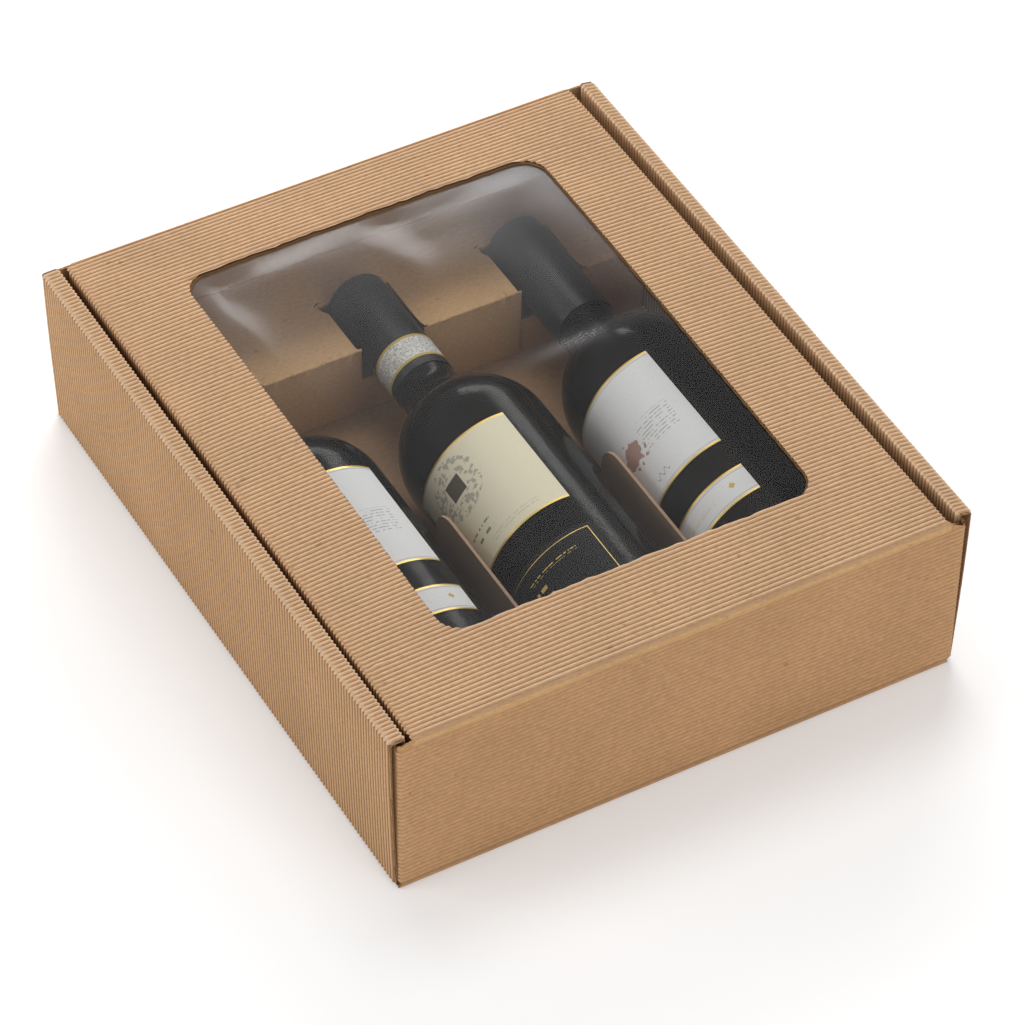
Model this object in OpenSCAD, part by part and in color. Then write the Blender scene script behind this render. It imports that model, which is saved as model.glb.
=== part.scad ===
// Brown gift box for three bottles, one folded blank of open-flute board with a window in its lid.
// X runs across the bottles, +Y from the lid's hinge to the necks, +Z up, origin under the base.

/* [Bottles] */
// Diameter of a bottle's body
bottle_d = 74.5; // [60:0.5:90]
// Length of a bottle from base to mouth
bottle_l = 300; // [270:1:340]
// Length of the straight body up to the shoulder
body_l = 180; // [150:1:195]
// Radius of the rounded shoulder
shoulder_r = 38; // [30:0.5:44]
// Radius of the hollow curve between shoulder and neck
neck_fillet_r = 24; // [14:0.5:30]
// Diameter of the neck
neck_d = 29; // [24:0.5:34]
// Rounding at the foot of the bottle
foot_r = 4; // [2:0.5:8]
// Depth of the hollow in the bottle's base
punt_h = 18; // [8:1:30]
// Free space between two bottles
bottle_gap = 11.5; // [8:0.5:24]
// Distance of the capsule's lower edge from the foot of the neck
capsule_up = 4; // [1:0.5:20]
// Thickness of the capsule
capsule_t = 0.5; // [0.3:0.1:1]

/* [Labels] */
// Thickness of the label paper
label_t = 0.15; // [0.1:0.05:0.4]
// Part of the girth that a label covers, in degrees
label_wrap = 100; // [60:5:150]
// Distance of the outer bottles' labels from the foot
label_up = 103; // [80:1:115]
// Length of the outer bottles' labels
label_l = 67; // [40:1:70]
// Distance of the middle bottle's label from the foot
middle_label_up = 104.5; // [80:0.5:115]
// Length of the middle bottle's label
middle_label_l = 61; // [40:1:70]
// Distance of the narrow strip labels from the foot
strip_up = 69; // [50:1:75]
// Length of the narrow strip labels
strip_l = 17; // [8:1:25]
// Distance of the middle bottle's lower label from the foot
lower_label_up = 38; // [20:1:50]
// Length of the middle bottle's lower label
lower_label_l = 49; // [20:1:52]
// Length of the back label
back_label_l = 80; // [40:1:90]
// Part of the girth that the back label covers, in degrees
back_label_wrap = 75; // [40:5:120]
// Distance of the neck band from the capsule's lower edge
neck_band_up = 4.5; // [1:0.5:8]
// Length of the neck band
neck_band_l = 15.5; // [8:0.5:20]
// Turn of the left bottle towards the left wall, in degrees
turn_left = 12; // [-30:1:80]
// Turn of the middle bottle towards the left wall, in degrees
turn_middle = 45; // [-30:1:80]
// Turn of the right bottle towards the left wall, in degrees
turn_right = 58; // [-30:1:80]

/* [Board] */
// Thickness of the smooth liner
liner_t = 0.55; // [0.3:0.05:1]
// Height of the open flutes on the liner
flute_h = 0.85; // [0.4:0.05:1.5]
// Distance from flute to flute
flute_pitch = 2.45; // [2.2:0.05:4]
// Width of a flute's crest
crest_w = 0.9; // [0.5:0.05:1.2]
// Inside radius of the folds in the tray
fold_in = 0.8; // [0.4:0.1:3]
// How far the folds are pressed below the flutes' crests
fold_press = 0.1; // [0.05:0.05:0.3]
// Thickness of the smooth card of the insert
card_t = 1.5; // [0.8:0.1:3]

/* [Room in the box] */
// Room between the near wall and the bottles' feet
near_room = 3.1; // [2.6:0.1:12]
// Room between the bottles' mouths and the far wall
far_room = 34.1; // [20:0.1:60]
// Room between an outer bottle and the side wall
side_room = 15.25; // [8:0.25:30]
// Room between the bottles and the lid
head_room = 14.45; // [8:0.05:40]
// How far each side wall leans out at the rim
side_flare = 2.9; // [0:0.1:5]

/* [Walls] */
// Length of the ears of the end walls inside the side walls
ear_l = 70; // [30:1:110]
// How far the free edges of the end walls lie below the rim
ear_drop = 3.5; // [2:0.5:8]
// How far the far wall's edge lies below the lid's face
far_wall_drop = 3.4; // [0.5:0.1:4.5]
// Height of the pressed smooth band below the free edges of the end walls
crease_band = 1.5; // [1:0.5:8]
// Length of a locking tab under the inner side walls
tab_l = 40; // [20:1:60]
// Distance of the locking tabs from the middle
tab_y = 85; // [40:1:110]

/* [Lid] */
// Groove between the lid and the rim of the side walls
lid_groove = 5; // [1.5:0.1:8]
// Margin between the window and the lid's sides
window_side = 40.5; // [25:0.5:70]
// Margin between the window and the hinge
window_near = 44; // [25:1:80]
// Margin between the window and the lid's far edge
window_far = 36; // [25:0.5:80]
// Corner radius of the window
window_r = 12; // [4:0.5:30]
// Overlap of the clear film behind the window's edge
film_lap = 12; // [6:1:20]
// Thickness of the clear film
film_t = 0.3; // [0.1:0.1:1]
// Inside radius of the folds in the lid
lid_fold_in = 0.4; // [0.4:0.1:2]
// Height of the lid's side flaps
side_flap_h = 28; // [15:1:34]
// Distance of the side flaps from the hinge
side_flap_start = 6; // [4:0.5:20]
// Distance of the side flaps from the lid's far edge
side_flap_end = 5; // [4:0.5:40]
// Height of the tuck flap at the lid's far edge
tuck_h = 36; // [20:1:45]
// Distance of the tuck flap's ends from the lid's sides
tuck_inset = 3; // [2:0.5:15]
// Lean of the tuck flap towards the bottles, in degrees
tuck_lean = 5; // [4:0.5:10]

/* [Insert] */
// Depth of the neck rest from the far wall
rest_depth = 68.6; // [50:0.2:90]
// Height of the neck rest's top over the bottles' axis
rest_rise = 2.1; // [-6:0.1:8]
// Depth of the neck notches below the bottles' axis
notch_drop = 17; // [16:0.5:22]
// Room beside and behind a capsule in its notch
notch_play = 2.4; // [1:0.1:6]
// Height of the divider
divider_h = 58.5; // [30:0.5:70]
// Length of the divider's two wings
divider_l = 145; // [60:1:170]
// Rounding of the divider's free corners
divider_r = 14; // [4:0.5:25]

/* [Clearances] */
// Play of the end walls' ears inside the side walls
ear_play = 0.15; // [0.1:0.05:0.6]
// Gap round the lid's hinge crease
hinge_gap = 0.4; // [0.3:0.05:1]
// Gap between the lid's far edge and the far wall
tuck_gap = 0.6; // [0.4:0.1:2]
// Gap between a loose piece and what it rests on or stands beside
rest_gap = 0.25; // [0.2:0.05:1]
// Gap between a locking tab and its slot
tab_gap = 0.3; // [0.2:0.05:0.8]
// Gap between a bottle and what is wrapped round it
wrap_gap = 0.1; // [0.05:0.05:0.3]

/* [Hidden] */
$fn = 64;

board_t = liner_t + flute_h;
fold_r = fold_in + board_t;
lid_fold_r = lid_fold_in + board_t;
bottle_r = bottle_d / 2;
bottle_pitch = bottle_d + bottle_gap;

// Inside and outside of the tray
inner_half = bottle_pitch + bottle_r + side_room;
base_half = inner_half + 3 * board_t + 2 * ear_play;
box_l = near_room + bottle_l + far_room + 2 * board_t;
box_h = 2 * board_t + rest_gap + bottle_d + head_room;
near_y = -box_l / 2;
far_y = box_l / 2;

// Leaning side walls between the folds at base and rim
wall_rise = box_h - 2 * fold_r;
side_lean = atan(side_flare / wall_rise);
wall_l = wall_rise / cos(side_lean);
side_l = box_l - 2 * fold_r;
rim_fold_x = base_half - fold_r + side_flare;
end_half = base_half - board_t - ear_play;
ear_top = box_h - ear_drop;
ear_bottom = fold_r + tab_gap;
flute_top = ear_top - crease_band;

// Hinge crease along the top of the near wall
hinge_r = board_t / 2;
hinge_y = near_y + hinge_r;
hinge_z = box_h - hinge_r;

// Lid, measured from its hinge edge
lid_half = inner_half - lid_groove;
lid_near = near_y + board_t + hinge_gap;
lid_far = far_y - board_t - tuck_gap;
lid_panel_l = lid_far - lid_fold_r - lid_near;
window_l = lid_far - lid_near - window_near - window_far;
window_w = 2 * (lid_half - window_side);
window_y = lid_near + window_near + window_l / 2;

// Bottles lying on the base, mouths towards +Y
bottle_y = near_y + board_t + near_room;
axis_z = board_t + rest_gap + bottle_r;
mouth_y = bottle_y + bottle_l;
capsule_r = neck_d / 2 + wrap_gap + capsule_t;

// Shoulder profile: where the two curves meet and where the neck starts
shoulder_x = bottle_r - shoulder_r;
fillet_x = neck_d / 2 + neck_fillet_r;
curve_rise = sqrt(pow(shoulder_r + neck_fillet_r, 2) - pow(fillet_x - shoulder_x, 2));
meet_share = shoulder_r / (shoulder_r + neck_fillet_r);
meet_x = shoulder_x + (fillet_x - shoulder_x) * meet_share;
meet_y = body_l + curve_rise * meet_share;
neck_y = body_l + curve_rise;

// Capsule, measured from the bottle's foot
capsule_foot = neck_y + capsule_up;
capsule_l = bottle_l - capsule_foot;

// Insert
rest_top = axis_z + rest_rise;
rest_far = far_y - board_t - rest_gap;
rest_front = far_y - board_t - rest_depth;
rest_half = inner_half - 2 * rest_gap;
floor_z = board_t + rest_gap;
notch_w = 2 * (capsule_r + notch_play);
notch_end = mouth_y + wrap_gap + capsule_t + notch_play / 2;
divider_y = near_y + board_t + rest_gap;

brown_board = [0.76, 0.58, 0.40];
brown_card = [0.62, 0.46, 0.32];
clear_film = [0.86, 0.88, 0.90, 0.3];
dark_glass = [0.06, 0.06, 0.06];
black_foil = [0.10, 0.10, 0.11];
white_paper = [0.86, 0.86, 0.86];
cream_paper = [0.88, 0.85, 0.72];
black_paper = [0.09, 0.09, 0.09];

function flute_count(across) = floor(across / flute_pitch - 0.2);
function flute_start(across) = (across - flute_count(across) * flute_pitch) / 2;

// Section of the board across its flutes, liner at the bottom
module board_section(across) {
    first = flute_start(across);
    last = flute_count(across) - 1;
    flank = (flute_pitch - crest_w) / 2;
    ridges = [for (i = [0:last]) for (p = [[0, 0], [flank, flute_h], [flank + crest_w, flute_h]])
        [first + i * flute_pitch + p[0], liner_t + p[1]]];
    polygon(concat(
        [[0, 0], [0, liner_t]],
        ridges,
        [[across - first, liner_t], [across, liner_t], [across, 0]]));
}

// Fluted panel: flutes along X, side by side along Y, crests up. The flutes stop just short of a fold,
// and the liner runs on into it: into = [1, 1] for a fold at both ends, [1, 0] at the start only
module fluted_panel(along, across, into = [1, 1]) {
    first = into[0] * fold_press;
    last = into[1] * fold_press;
    skin = liner_t / 5;
    translate([first, 0, 0]) rotate([90, 0, 90]) linear_extrude(along - first - last) board_section(across);
    translate([skin * (1 - into[0]) - first, skin, skin])
        cube([along + first + last - skin * (2 - into[0] - into[1]), across - 2 * skin, liner_t - 2 * skin]);
}

// Pressed round fold along Z: starts at +X and turns by sweep towards +Y
module fold(length, radius, sweep) {
    reach = 2 * radius;
    linear_extrude(length) intersection() {
        difference() {
            circle(radius - fold_press);
            circle(radius - board_t - fold_press);
        }
        polygon([[0, 0], [reach, 0], [reach * cos(sweep / 2), reach * sin(sweep / 2)],
            [reach * cos(sweep), reach * sin(sweep)]]);
    }
}

module both_sides() {
    children();
    mirror([1, 0, 0]) children();
}

// Rectangle with true round corners, centred
module round_rect(w, l, r) {
    square([w - 2 * r, l], center = true);
    square([w, l - 2 * r], center = true);
    for (x = [-1, 1], y = [-1, 1]) translate([x * (w / 2 - r), y * (l / 2 - r)]) circle(r);
}

// Base with its flutes underneath and slots for the locking tabs
module base_panel() {
    half = base_half - fold_r;
    panel_l = side_l + 2 * fold_press;
    slot_w = board_t + 2 * tab_gap;
    slot_l = tab_l + 2 * tab_gap;
    difference() {
        translate([-half, -panel_l / 2, board_t]) mirror([0, 0, 1]) fluted_panel(2 * half, panel_l);
        for (x = [-1, 1], y = [-tab_y, tab_y])
            translate([x * (inner_half + board_t / 2) - slot_w / 2, y - slot_l / 2, -tab_gap])
                cube([slot_w, slot_l, board_t + 2 * tab_gap]);
    }
}

// Right side: outer wall, rim and inner wall rolled over into a hollow wall with locking tabs
module rolled_side() {
    rim_w = rim_fold_x - inner_half;
    // Everything that leans turns about the middle of the base fold
    translate([base_half - fold_r, 0, fold_r]) rotate([0, side_lean, 0]) {
        translate([fold_in, -side_l / 2, wall_l]) rotate([0, 90, 0]) fluted_panel(wall_l, side_l);
        translate([0, side_l / 2, 0]) rotate([90, 0, 0]) mirror([0, 1, 0])
            fold(side_l, fold_r, 90 - side_lean);
        translate([0, side_l / 2, wall_l]) rotate([90, 0, 0]) fold(side_l, fold_r, 90 + side_lean);
    }
    translate([inner_half, -side_l / 2, box_h - board_t]) fluted_panel(rim_w, side_l, [0, 1]);
    translate([inner_half, -side_l / 2, floor_z])
        cube([board_t, side_l, box_h - flute_h - floor_z]);
    for (y = [-tab_y, tab_y])
        translate([inner_half, y - tab_l / 2, tab_gap]) cube([board_t, tab_l, floor_z]);
}

// Wall at the near end, fluted on its outer face, with folds down to the base and round to its ears
module end_wall(top, middle_half) {
    half = end_half - fold_r;
    band_half = half + fold_press;
    low = fold_r - fold_press;
    band = flute_top - fold_press;
    translate([-half, near_y + board_t, low]) rotate([90, 0, 0]) fluted_panel(2 * half, flute_top - low);
    translate([0, near_y + board_t, 0]) rotate([90, 0, 0]) linear_extrude(board_t - fold_press)
        polygon([[-band_half, band], [band_half, band], [band_half, ear_top], [middle_half, ear_top],
            [middle_half, top], [-middle_half, top], [-middle_half, ear_top], [-band_half, ear_top]]);
    translate([-half, near_y + fold_r, fold_r]) rotate([90, 0, 90]) mirror([0, 1, 0]) mirror([1, 0, 0])
        fold(2 * half, fold_r, 90);
    both_sides() {
        translate([end_half - fold_r, near_y + fold_r, ear_bottom]) mirror([0, 1, 0])
            fold(ear_top - ear_bottom, fold_r, 90);
        translate([end_half - board_t, near_y + low, ear_bottom])
            cube([board_t, ear_l - low, ear_top - ear_bottom]);
    }
}

// Bead of the hinge crease, carried on a thin web by the near wall
module hinge_bead() {
    translate([-lid_half, hinge_y, hinge_z]) rotate([0, 90, 0]) cylinder(r = hinge_r, h = 2 * lid_half);
    translate([-lid_half, hinge_y - hinge_r / 2, box_h - 2 * board_t])
        cube([2 * lid_half, hinge_r, 2 * board_t - hinge_r]);
}

module tray() {
    color(brown_board) union() {
        base_panel();
        both_sides() rolled_side();
        end_wall(box_h - board_t, lid_half);
        hinge_bead();
        mirror([0, 1, 0]) end_wall(box_h - far_wall_drop, lid_half);
    }
}

// Right side flap of the lid, its ends cut at a slant
module lid_side_flap() {
    start = lid_near + side_flap_start;
    end = lid_far - side_flap_end;
    top = box_h - lid_fold_r;
    slant = side_flap_h / 4;
    low = box_h - side_flap_h;
    translate([lid_half - lid_fold_r, end, top]) rotate([90, 0, 0]) fold(end - start, lid_fold_r, 90);
    translate([lid_half - board_t, 0, 0]) rotate([90, 0, 90]) linear_extrude(board_t)
        polygon([[start, top + fold_press], [start + slant, low],
            [end - slant, low], [end, top + fold_press]]);
}

// Tuck flap at the lid's far edge, leaning in behind the far wall
module tuck_flap() {
    half = lid_half - tuck_inset;
    slant = tuck_h / 3;
    drop = tuck_h - lid_fold_r;
    translate([-half, lid_far - lid_fold_r, box_h - lid_fold_r]) rotate([-tuck_lean, 0, 0]) {
        rotate([90, 0, 90]) fold(2 * half, lid_fold_r, 90 + tuck_lean);
        translate([0, lid_fold_r, 0]) rotate([90, 0, 0]) linear_extrude(board_t)
            polygon([[0, fold_press], [slant, -drop], [2 * half - slant, -drop], [2 * half, fold_press]]);
    }
}

module lid() {
    half = lid_half - lid_fold_r;
    color(brown_board) union() {
        difference() {
            translate([-half, lid_near, box_h - board_t]) fluted_panel(2 * half, lid_panel_l + fold_press);
            translate([0, window_y, box_h - 2 * board_t]) linear_extrude(3 * board_t)
                round_rect(window_w, window_l, window_r);
        }
        both_sides() lid_side_flap();
        tuck_flap();
    }
}

module window_film() {
    color(clear_film)
        translate([-window_w / 2 - film_lap, window_y - window_l / 2 - film_lap, box_h - board_t - film_t])
            cube([window_w + 2 * film_lap, window_l + 2 * film_lap, film_t]);
}

// Card folded over the base at the far end, with a notch for each neck
module neck_rest() {
    notch_low = axis_z - notch_drop;
    color(brown_card) difference() {
        translate([-rest_half, 0, 0]) rotate([90, 0, 90]) linear_extrude(2 * rest_half)
            difference() {
                translate([rest_front, floor_z]) square([rest_far - rest_front, rest_top - floor_z]);
                translate([rest_front + card_t, floor_z - card_t])
                    square([rest_far - rest_front - 2 * card_t, rest_top - floor_z]);
            }
        for (i = [-1:1])
            translate([i * bottle_pitch - notch_w / 2, rest_front - card_t, notch_low])
                cube([notch_w, notch_end - rest_front + card_t, rest_top]);
    }
}

// Strip of card folded into a U round the middle bottle, its wings rounded at their free corners
module divider() {
    wing = bottle_pitch / 2 + card_t / 2;
    wing_end = divider_y + divider_l;
    top = floor_z + divider_h;
    color(brown_card) union() {
        translate([-wing, divider_y, floor_z]) cube([2 * wing, card_t, divider_h]);
        both_sides() translate([wing - card_t, 0, 0]) rotate([90, 0, 90]) linear_extrude(card_t) {
            translate([divider_y, floor_z]) square([divider_l - divider_r, divider_h]);
            translate([divider_y, floor_z]) square([divider_l, divider_h - divider_r]);
            translate([wing_end - divider_r, top - divider_r]) circle(divider_r);
        }
    }
}

// Places what stands on a bottle's foot so that it lies in the box, i = -1, 0 or 1
module lay(i) {
    translate([i * bottle_pitch, bottle_y, axis_z]) rotate([-90, 0, 0]) children();
}

// Half section of a bottle, its foot on the X axis
module bottle_section() {
    difference() {
        union() {
            translate([0, foot_r]) square([bottle_r, body_l - foot_r]);
            square([bottle_r - foot_r, foot_r]);
            translate([bottle_r - foot_r, foot_r]) circle(foot_r);
            intersection() {
                translate([shoulder_x, body_l]) circle(shoulder_r);
                translate([0, body_l]) square([bottle_r, meet_y - body_l]);
            }
            difference() {
                polygon([[0, body_l], [neck_d / 2, body_l], [meet_x, meet_y],
                    [neck_d / 2, neck_y], [0, neck_y]]);
                translate([fillet_x, neck_y]) circle(neck_fillet_r);
            }
            translate([0, body_l]) square([neck_d / 2, bottle_l - body_l]);
        }
        polygon([[0, -foot_r], [0, punt_h], [bottle_r - 3 * foot_r, 0], [bottle_r - 3 * foot_r, -foot_r]]);
    }
}

module bottle(i) {
    color(dark_glass) lay(i) rotate_extrude() bottle_section();
}

// Foil cap drawn over the mouth and down the neck
module capsule(i) {
    color(black_foil) lay(i) difference() {
        translate([0, 0, capsule_foot]) cylinder(r = capsule_r, h = capsule_l + wrap_gap + capsule_t);
        translate([0, 0, capsule_foot - capsule_t])
            cylinder(r = capsule_r - capsule_t, h = capsule_l + capsule_t + wrap_gap);
    }
}

// Curved sheet of paper round a bottle of radius r, its middle turned from the top towards -X
module wrapped(i, r, from, length, wrap, turn) {
    lay(i) translate([0, 0, from]) rotate([0, 0, -90 - turn - wrap / 2]) rotate_extrude(angle = wrap)
        translate([r + wrap_gap, 0]) square([label_t, length]);
}

module main_label(i, turn) {
    color(white_paper) wrapped(i, bottle_r, label_up, label_l, label_wrap, turn);
}

module strip_label(i, turn) {
    color(white_paper) wrapped(i, bottle_r, strip_up, strip_l, label_wrap, turn);
}

module middle_label() {
    color(cream_paper)
        wrapped(0, bottle_r, middle_label_up, middle_label_l, label_wrap, turn_middle);
}

module lower_label() {
    color(black_paper)
        wrapped(0, bottle_r, lower_label_up, lower_label_l, label_wrap, turn_middle);
}

// Back label, opposite the main label
module back_label() {
    color(white_paper)
        wrapped(0, bottle_r, middle_label_up - (back_label_l - middle_label_l), back_label_l,
            back_label_wrap, turn_middle - 180);
}

// Paper band round the middle bottle's capsule
module neck_band() {
    color(white_paper) lay(0) translate([0, 0, capsule_foot + neck_band_up]) difference() {
        cylinder(r = capsule_r + wrap_gap + label_t, h = neck_band_l);
        translate([0, 0, -label_t]) cylinder(r = capsule_r + wrap_gap, h = neck_band_l + 2 * label_t);
    }
}

tray();
lid();
window_film();
neck_rest();
divider();
bottle(-1);  // bottle_left
bottle(0);  // bottle_middle
bottle(1);  // bottle_right
capsule(-1);  // capsule_left
capsule(0);  // capsule_middle
capsule(1);  // capsule_right
neck_band();
main_label(-1, turn_left);  // label_left
middle_label();  // label_middle
main_label(1, turn_right);  // label_right
strip_label(-1, turn_left);  // strip_left
strip_label(1, turn_right);  // strip_right
lower_label();
back_label();
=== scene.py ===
import math

import bmesh
import bpy
import numpy as np
from mathutils import Matrix, Vector


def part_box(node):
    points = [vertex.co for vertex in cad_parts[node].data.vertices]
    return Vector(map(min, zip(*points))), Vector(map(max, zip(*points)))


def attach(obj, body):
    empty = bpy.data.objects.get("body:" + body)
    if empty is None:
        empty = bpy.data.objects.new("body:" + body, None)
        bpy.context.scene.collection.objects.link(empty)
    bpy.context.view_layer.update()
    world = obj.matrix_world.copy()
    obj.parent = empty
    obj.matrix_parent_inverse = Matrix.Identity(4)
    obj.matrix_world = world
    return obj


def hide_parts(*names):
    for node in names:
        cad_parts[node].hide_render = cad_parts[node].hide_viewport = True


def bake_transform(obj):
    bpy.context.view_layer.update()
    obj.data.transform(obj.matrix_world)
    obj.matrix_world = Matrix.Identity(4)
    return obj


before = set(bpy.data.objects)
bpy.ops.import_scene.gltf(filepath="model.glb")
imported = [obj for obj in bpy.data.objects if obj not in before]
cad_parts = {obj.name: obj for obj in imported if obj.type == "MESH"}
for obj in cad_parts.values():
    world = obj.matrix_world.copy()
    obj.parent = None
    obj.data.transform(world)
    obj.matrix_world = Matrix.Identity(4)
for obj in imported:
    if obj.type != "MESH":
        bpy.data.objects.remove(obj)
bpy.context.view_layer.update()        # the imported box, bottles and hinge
mm = 0.001               # sizes below are millimetres, meshes are metres
print("frame loaded:", len(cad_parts), "nodes")


def cornersOf(node):
    low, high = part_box(node)
    return np.array(low) / mm, np.array(high) / mm


def roundOf(node):      # centre in X and Z, radius, and both ends along Y
    low, high = cornersOf(node)
    centre = (low + high) / 2
    return (centre[0], centre[2]), (high[0] - low[0]) / 2, low[1], high[1]


def addObject(name, data):
    added = bpy.data.objects.new(name, data)
    bpy.context.scene.collection.objects.link(added)
    return added


trayLow, trayHigh = cornersOf("tray")
lidLow, lidHigh = cornersOf("lid")
filmLow, filmHigh = cornersOf("window_film")
restLow, restHigh = cornersOf("neck_rest")
dividerLow, dividerHigh = cornersOf("divider")
boxTop = trayHigh[2]
nearY, farY = trayLow[1], trayHigh[1]


# material nodes, written as plain arithmetic

class Signal:      # a number or colour that flows through a material's nodes
    def __init__(self, tree, socket):
        self.tree = tree
        self.socket = socket

    def __add__(self, other):
        return calc(self.tree, "ADD", self, other)

    def __sub__(self, other):
        return calc(self.tree, "SUBTRACT", self, other)

    def __rsub__(self, other):
        return calc(self.tree, "SUBTRACT", other, self)

    def __mul__(self, other):
        return calc(self.tree, "MULTIPLY", self, other)

    def __lt__(self, other):
        return calc(self.tree, "LESS_THAN", self, other)

    def __gt__(self, other):
        return calc(self.tree, "GREATER_THAN", self, other)

    def __abs__(self):
        return calc(self.tree, "ABSOLUTE", self)

    def within(self, low, high):
        return (self > low) * (self < high)

    def spread(self, fromLow, fromHigh, toLow=0.0, toHigh=1.0):
        node = self.tree.nodes.new("ShaderNodeMapRange")
        limits = {"From Min": fromLow, "From Max": fromHigh, "To Min": toLow, "To Max": toHigh}
        for name, number in limits.items():
            node.inputs[name].default_value = number
        plug(self, node.inputs["Value"])
        return Signal(self.tree, node.outputs["Result"])


def plug(value, socket):
    if isinstance(value, Signal):
        value.tree.links.new(value.socket, socket)
    else:
        socket.default_value = (*value, 1.0) if isinstance(value, tuple) else value


def calc(tree, operation, first, second=0.0):
    node = tree.nodes.new("ShaderNodeMath")
    node.operation = operation
    plug(first, node.inputs[0])
    plug(second, node.inputs[1])
    return Signal(tree, node.outputs[0])


def mixColour(tree, share, first, second, way="MIX"):
    node = tree.nodes.new("ShaderNodeMix")
    node.data_type = "RGBA"
    node.blend_type = way
    for name, value in (("Factor", share), ("A", first), ("B", second)):
        plug(value, node.inputs[name])
    return Signal(tree, node.outputs["Result"])


def objectPlace(tree):
    return tree.nodes.new("ShaderNodeTexCoord").outputs["Object"]


def placeOnY(tree):
    split = tree.nodes.new("ShaderNodeSeparateXYZ")
    tree.links.new(objectPlace(tree), split.inputs["Vector"])
    return Signal(tree, split.outputs["Y"])


def grain(tree, scale, stretch=(1, 1, 1), detail=2.0, rough=0.5):
    mapping = tree.nodes.new("ShaderNodeMapping")
    mapping.inputs["Scale"].default_value = stretch
    tree.links.new(objectPlace(tree), mapping.inputs["Vector"])
    noise = tree.nodes.new("ShaderNodeTexNoise")
    for name, number in (("Scale", scale), ("Detail", detail), ("Roughness", rough)):
        noise.inputs[name].default_value = number
    tree.links.new(mapping.outputs["Vector"], noise.inputs["Vector"])
    return Signal(tree, noise.outputs["Fac"])


def startMaterial(name, rough, gloss):
    material = bpy.data.materials.new(name)
    material.use_nodes = True
    tree = material.node_tree
    shader = tree.nodes["Principled BSDF"]
    shader.inputs["Roughness"].default_value = rough
    shader.inputs["Specular IOR Level"].default_value = gloss
    return material, tree, shader


def addBump(tree, shader, height, strength, distance):
    bump = tree.nodes.new("ShaderNodeBump")
    bump.inputs["Strength"].default_value = strength
    bump.inputs["Distance"].default_value = distance
    plug(height, bump.inputs["Height"])
    tree.links.new(bump.outputs["Normal"], shader.inputs["Normal"])


# brown board and card

brownBoard = {
    "crest": (0.695, 0.491, 0.32),    # tops of the flutes, paper colour lightened as a painted highlight
    "valley": (0.54, 0.315, 0.16),    # paper between them, darkened as painted shade
    "wallCrest": (0.81, 0.543, 0.321),  # the same on the side walls, with stronger painted highlight and shade, as they are seen at a slant
    "wallValley": (0.34, 0.168, 0.068),
    "endCrest": (0.74, 0.506, 0.303),   # and on the end walls
    "endValley": (0.595, 0.33, 0.154),
    "wallEdge": (0.30, 0.23, 0.17),   # cut ends of the side walls
    "groove": (0.17, 0.082, 0.036),   # painted shade, deep between lid and walls
    "hinge": (0.43, 0.268, 0.148),    # stretched paper of the fold between lid and near wall
    "hingeLowPaintedLight": (0.72, 0.436, 0.215),   # and where it meets the wall, lightened as painted light where the fold faces forward and gets less light
    "lip": (0.15, 0.08, 0.037),       # liner showing round the window, painted dark as shade
    "inside": (0.46, 0.29, 0.17),     # smooth liner seen inside the box
    "raw": (0.13, 0.105, 0.085),      # cut edge of the flutes
    "rawLiner": (0.42, 0.24, 0.11),   # cut edge of the liner
    "card": (0.72, 0.455, 0.24),      # smooth card of the insert, its colour raised as painted light for the dim inside of the box
    "divider": (0.37, 0.25, 0.165),   # greyer card between the bottles
    "fleck": (0.20, 0.12, 0.07),      # dark fibres
}


def paperTone(tree, colour, flecks):
    broad = grain(tree, 22, detail=3).spread(0.3, 0.7, 0.95, 1.05)
    fine = grain(tree, 900, (0.45, 1, 1), detail=3).spread(0.3, 0.7, 0.9, 1.1)
    toned = mixColour(tree, 1.0, colour, broad * fine, "MULTIPLY")
    spots = grain(tree, 330, (0.55, 1, 1), detail=1).spread(0.735, 0.775, 0, flecks)
    return mixColour(tree, spots, toned, brownBoard["fleck"])


def flutedPaper(name, valley, crest, low, high, grooveShaded=False):
    material, tree, shader = startMaterial(name, 0.78, 0.1)
    ridge = tree.nodes.new("ShaderNodeAttribute")
    ridge.attribute_name = "ridge"
    height = Signal(tree, ridge.outputs["Fac"]).spread(low, high)
    # colour runs from the valleys' painted shade to the crests' painted highlight with the flutes' height
    colour = mixColour(tree, height, brownBoard[valley], brownBoard[crest])
    if grooveShaded:                                # painted shade: faces deep in a groove are darkened towards the groove colour, open faces keep their tone
        hollow = tree.nodes.new("ShaderNodeAmbientOcclusion")
        hollow.samples = 4
        hollow.inputs["Distance"].default_value = 0.011
        openness = Signal(tree, hollow.outputs["AO"]).spread(0.1, 0.6)
        colour = mixColour(tree, openness, brownBoard["groove"], colour)
    plug(paperTone(tree, colour, 0.35), shader.inputs["Base Color"])
    addBump(tree, shader, grain(tree, 1400, (0.4, 1, 1), detail=3), 0.25, 0.00008)
    return material


def smoothPaper(name, tone):
    material, tree, shader = startMaterial(name, 0.8, 0.1)
    plug(paperTone(tree, brownBoard[tone], 0.3), shader.inputs["Base Color"])
    addBump(tree, shader, grain(tree, 700, detail=4), 0.2, 0.00012)
    return material


def rawEdge(name, tone):
    material, tree, shader = startMaterial(name, 0.9, 0.1)
    shade = grain(tree, 1300, detail=3).spread(0.3, 0.7, 0.55, 1.5)
    plug(mixColour(tree, 1.0, brownBoard[tone], shade, "MULTIPLY"), shader.inputs["Base Color"])
    addBump(tree, shader, grain(tree, 1800, detail=2), 0.6, 0.0002)
    return material


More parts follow.
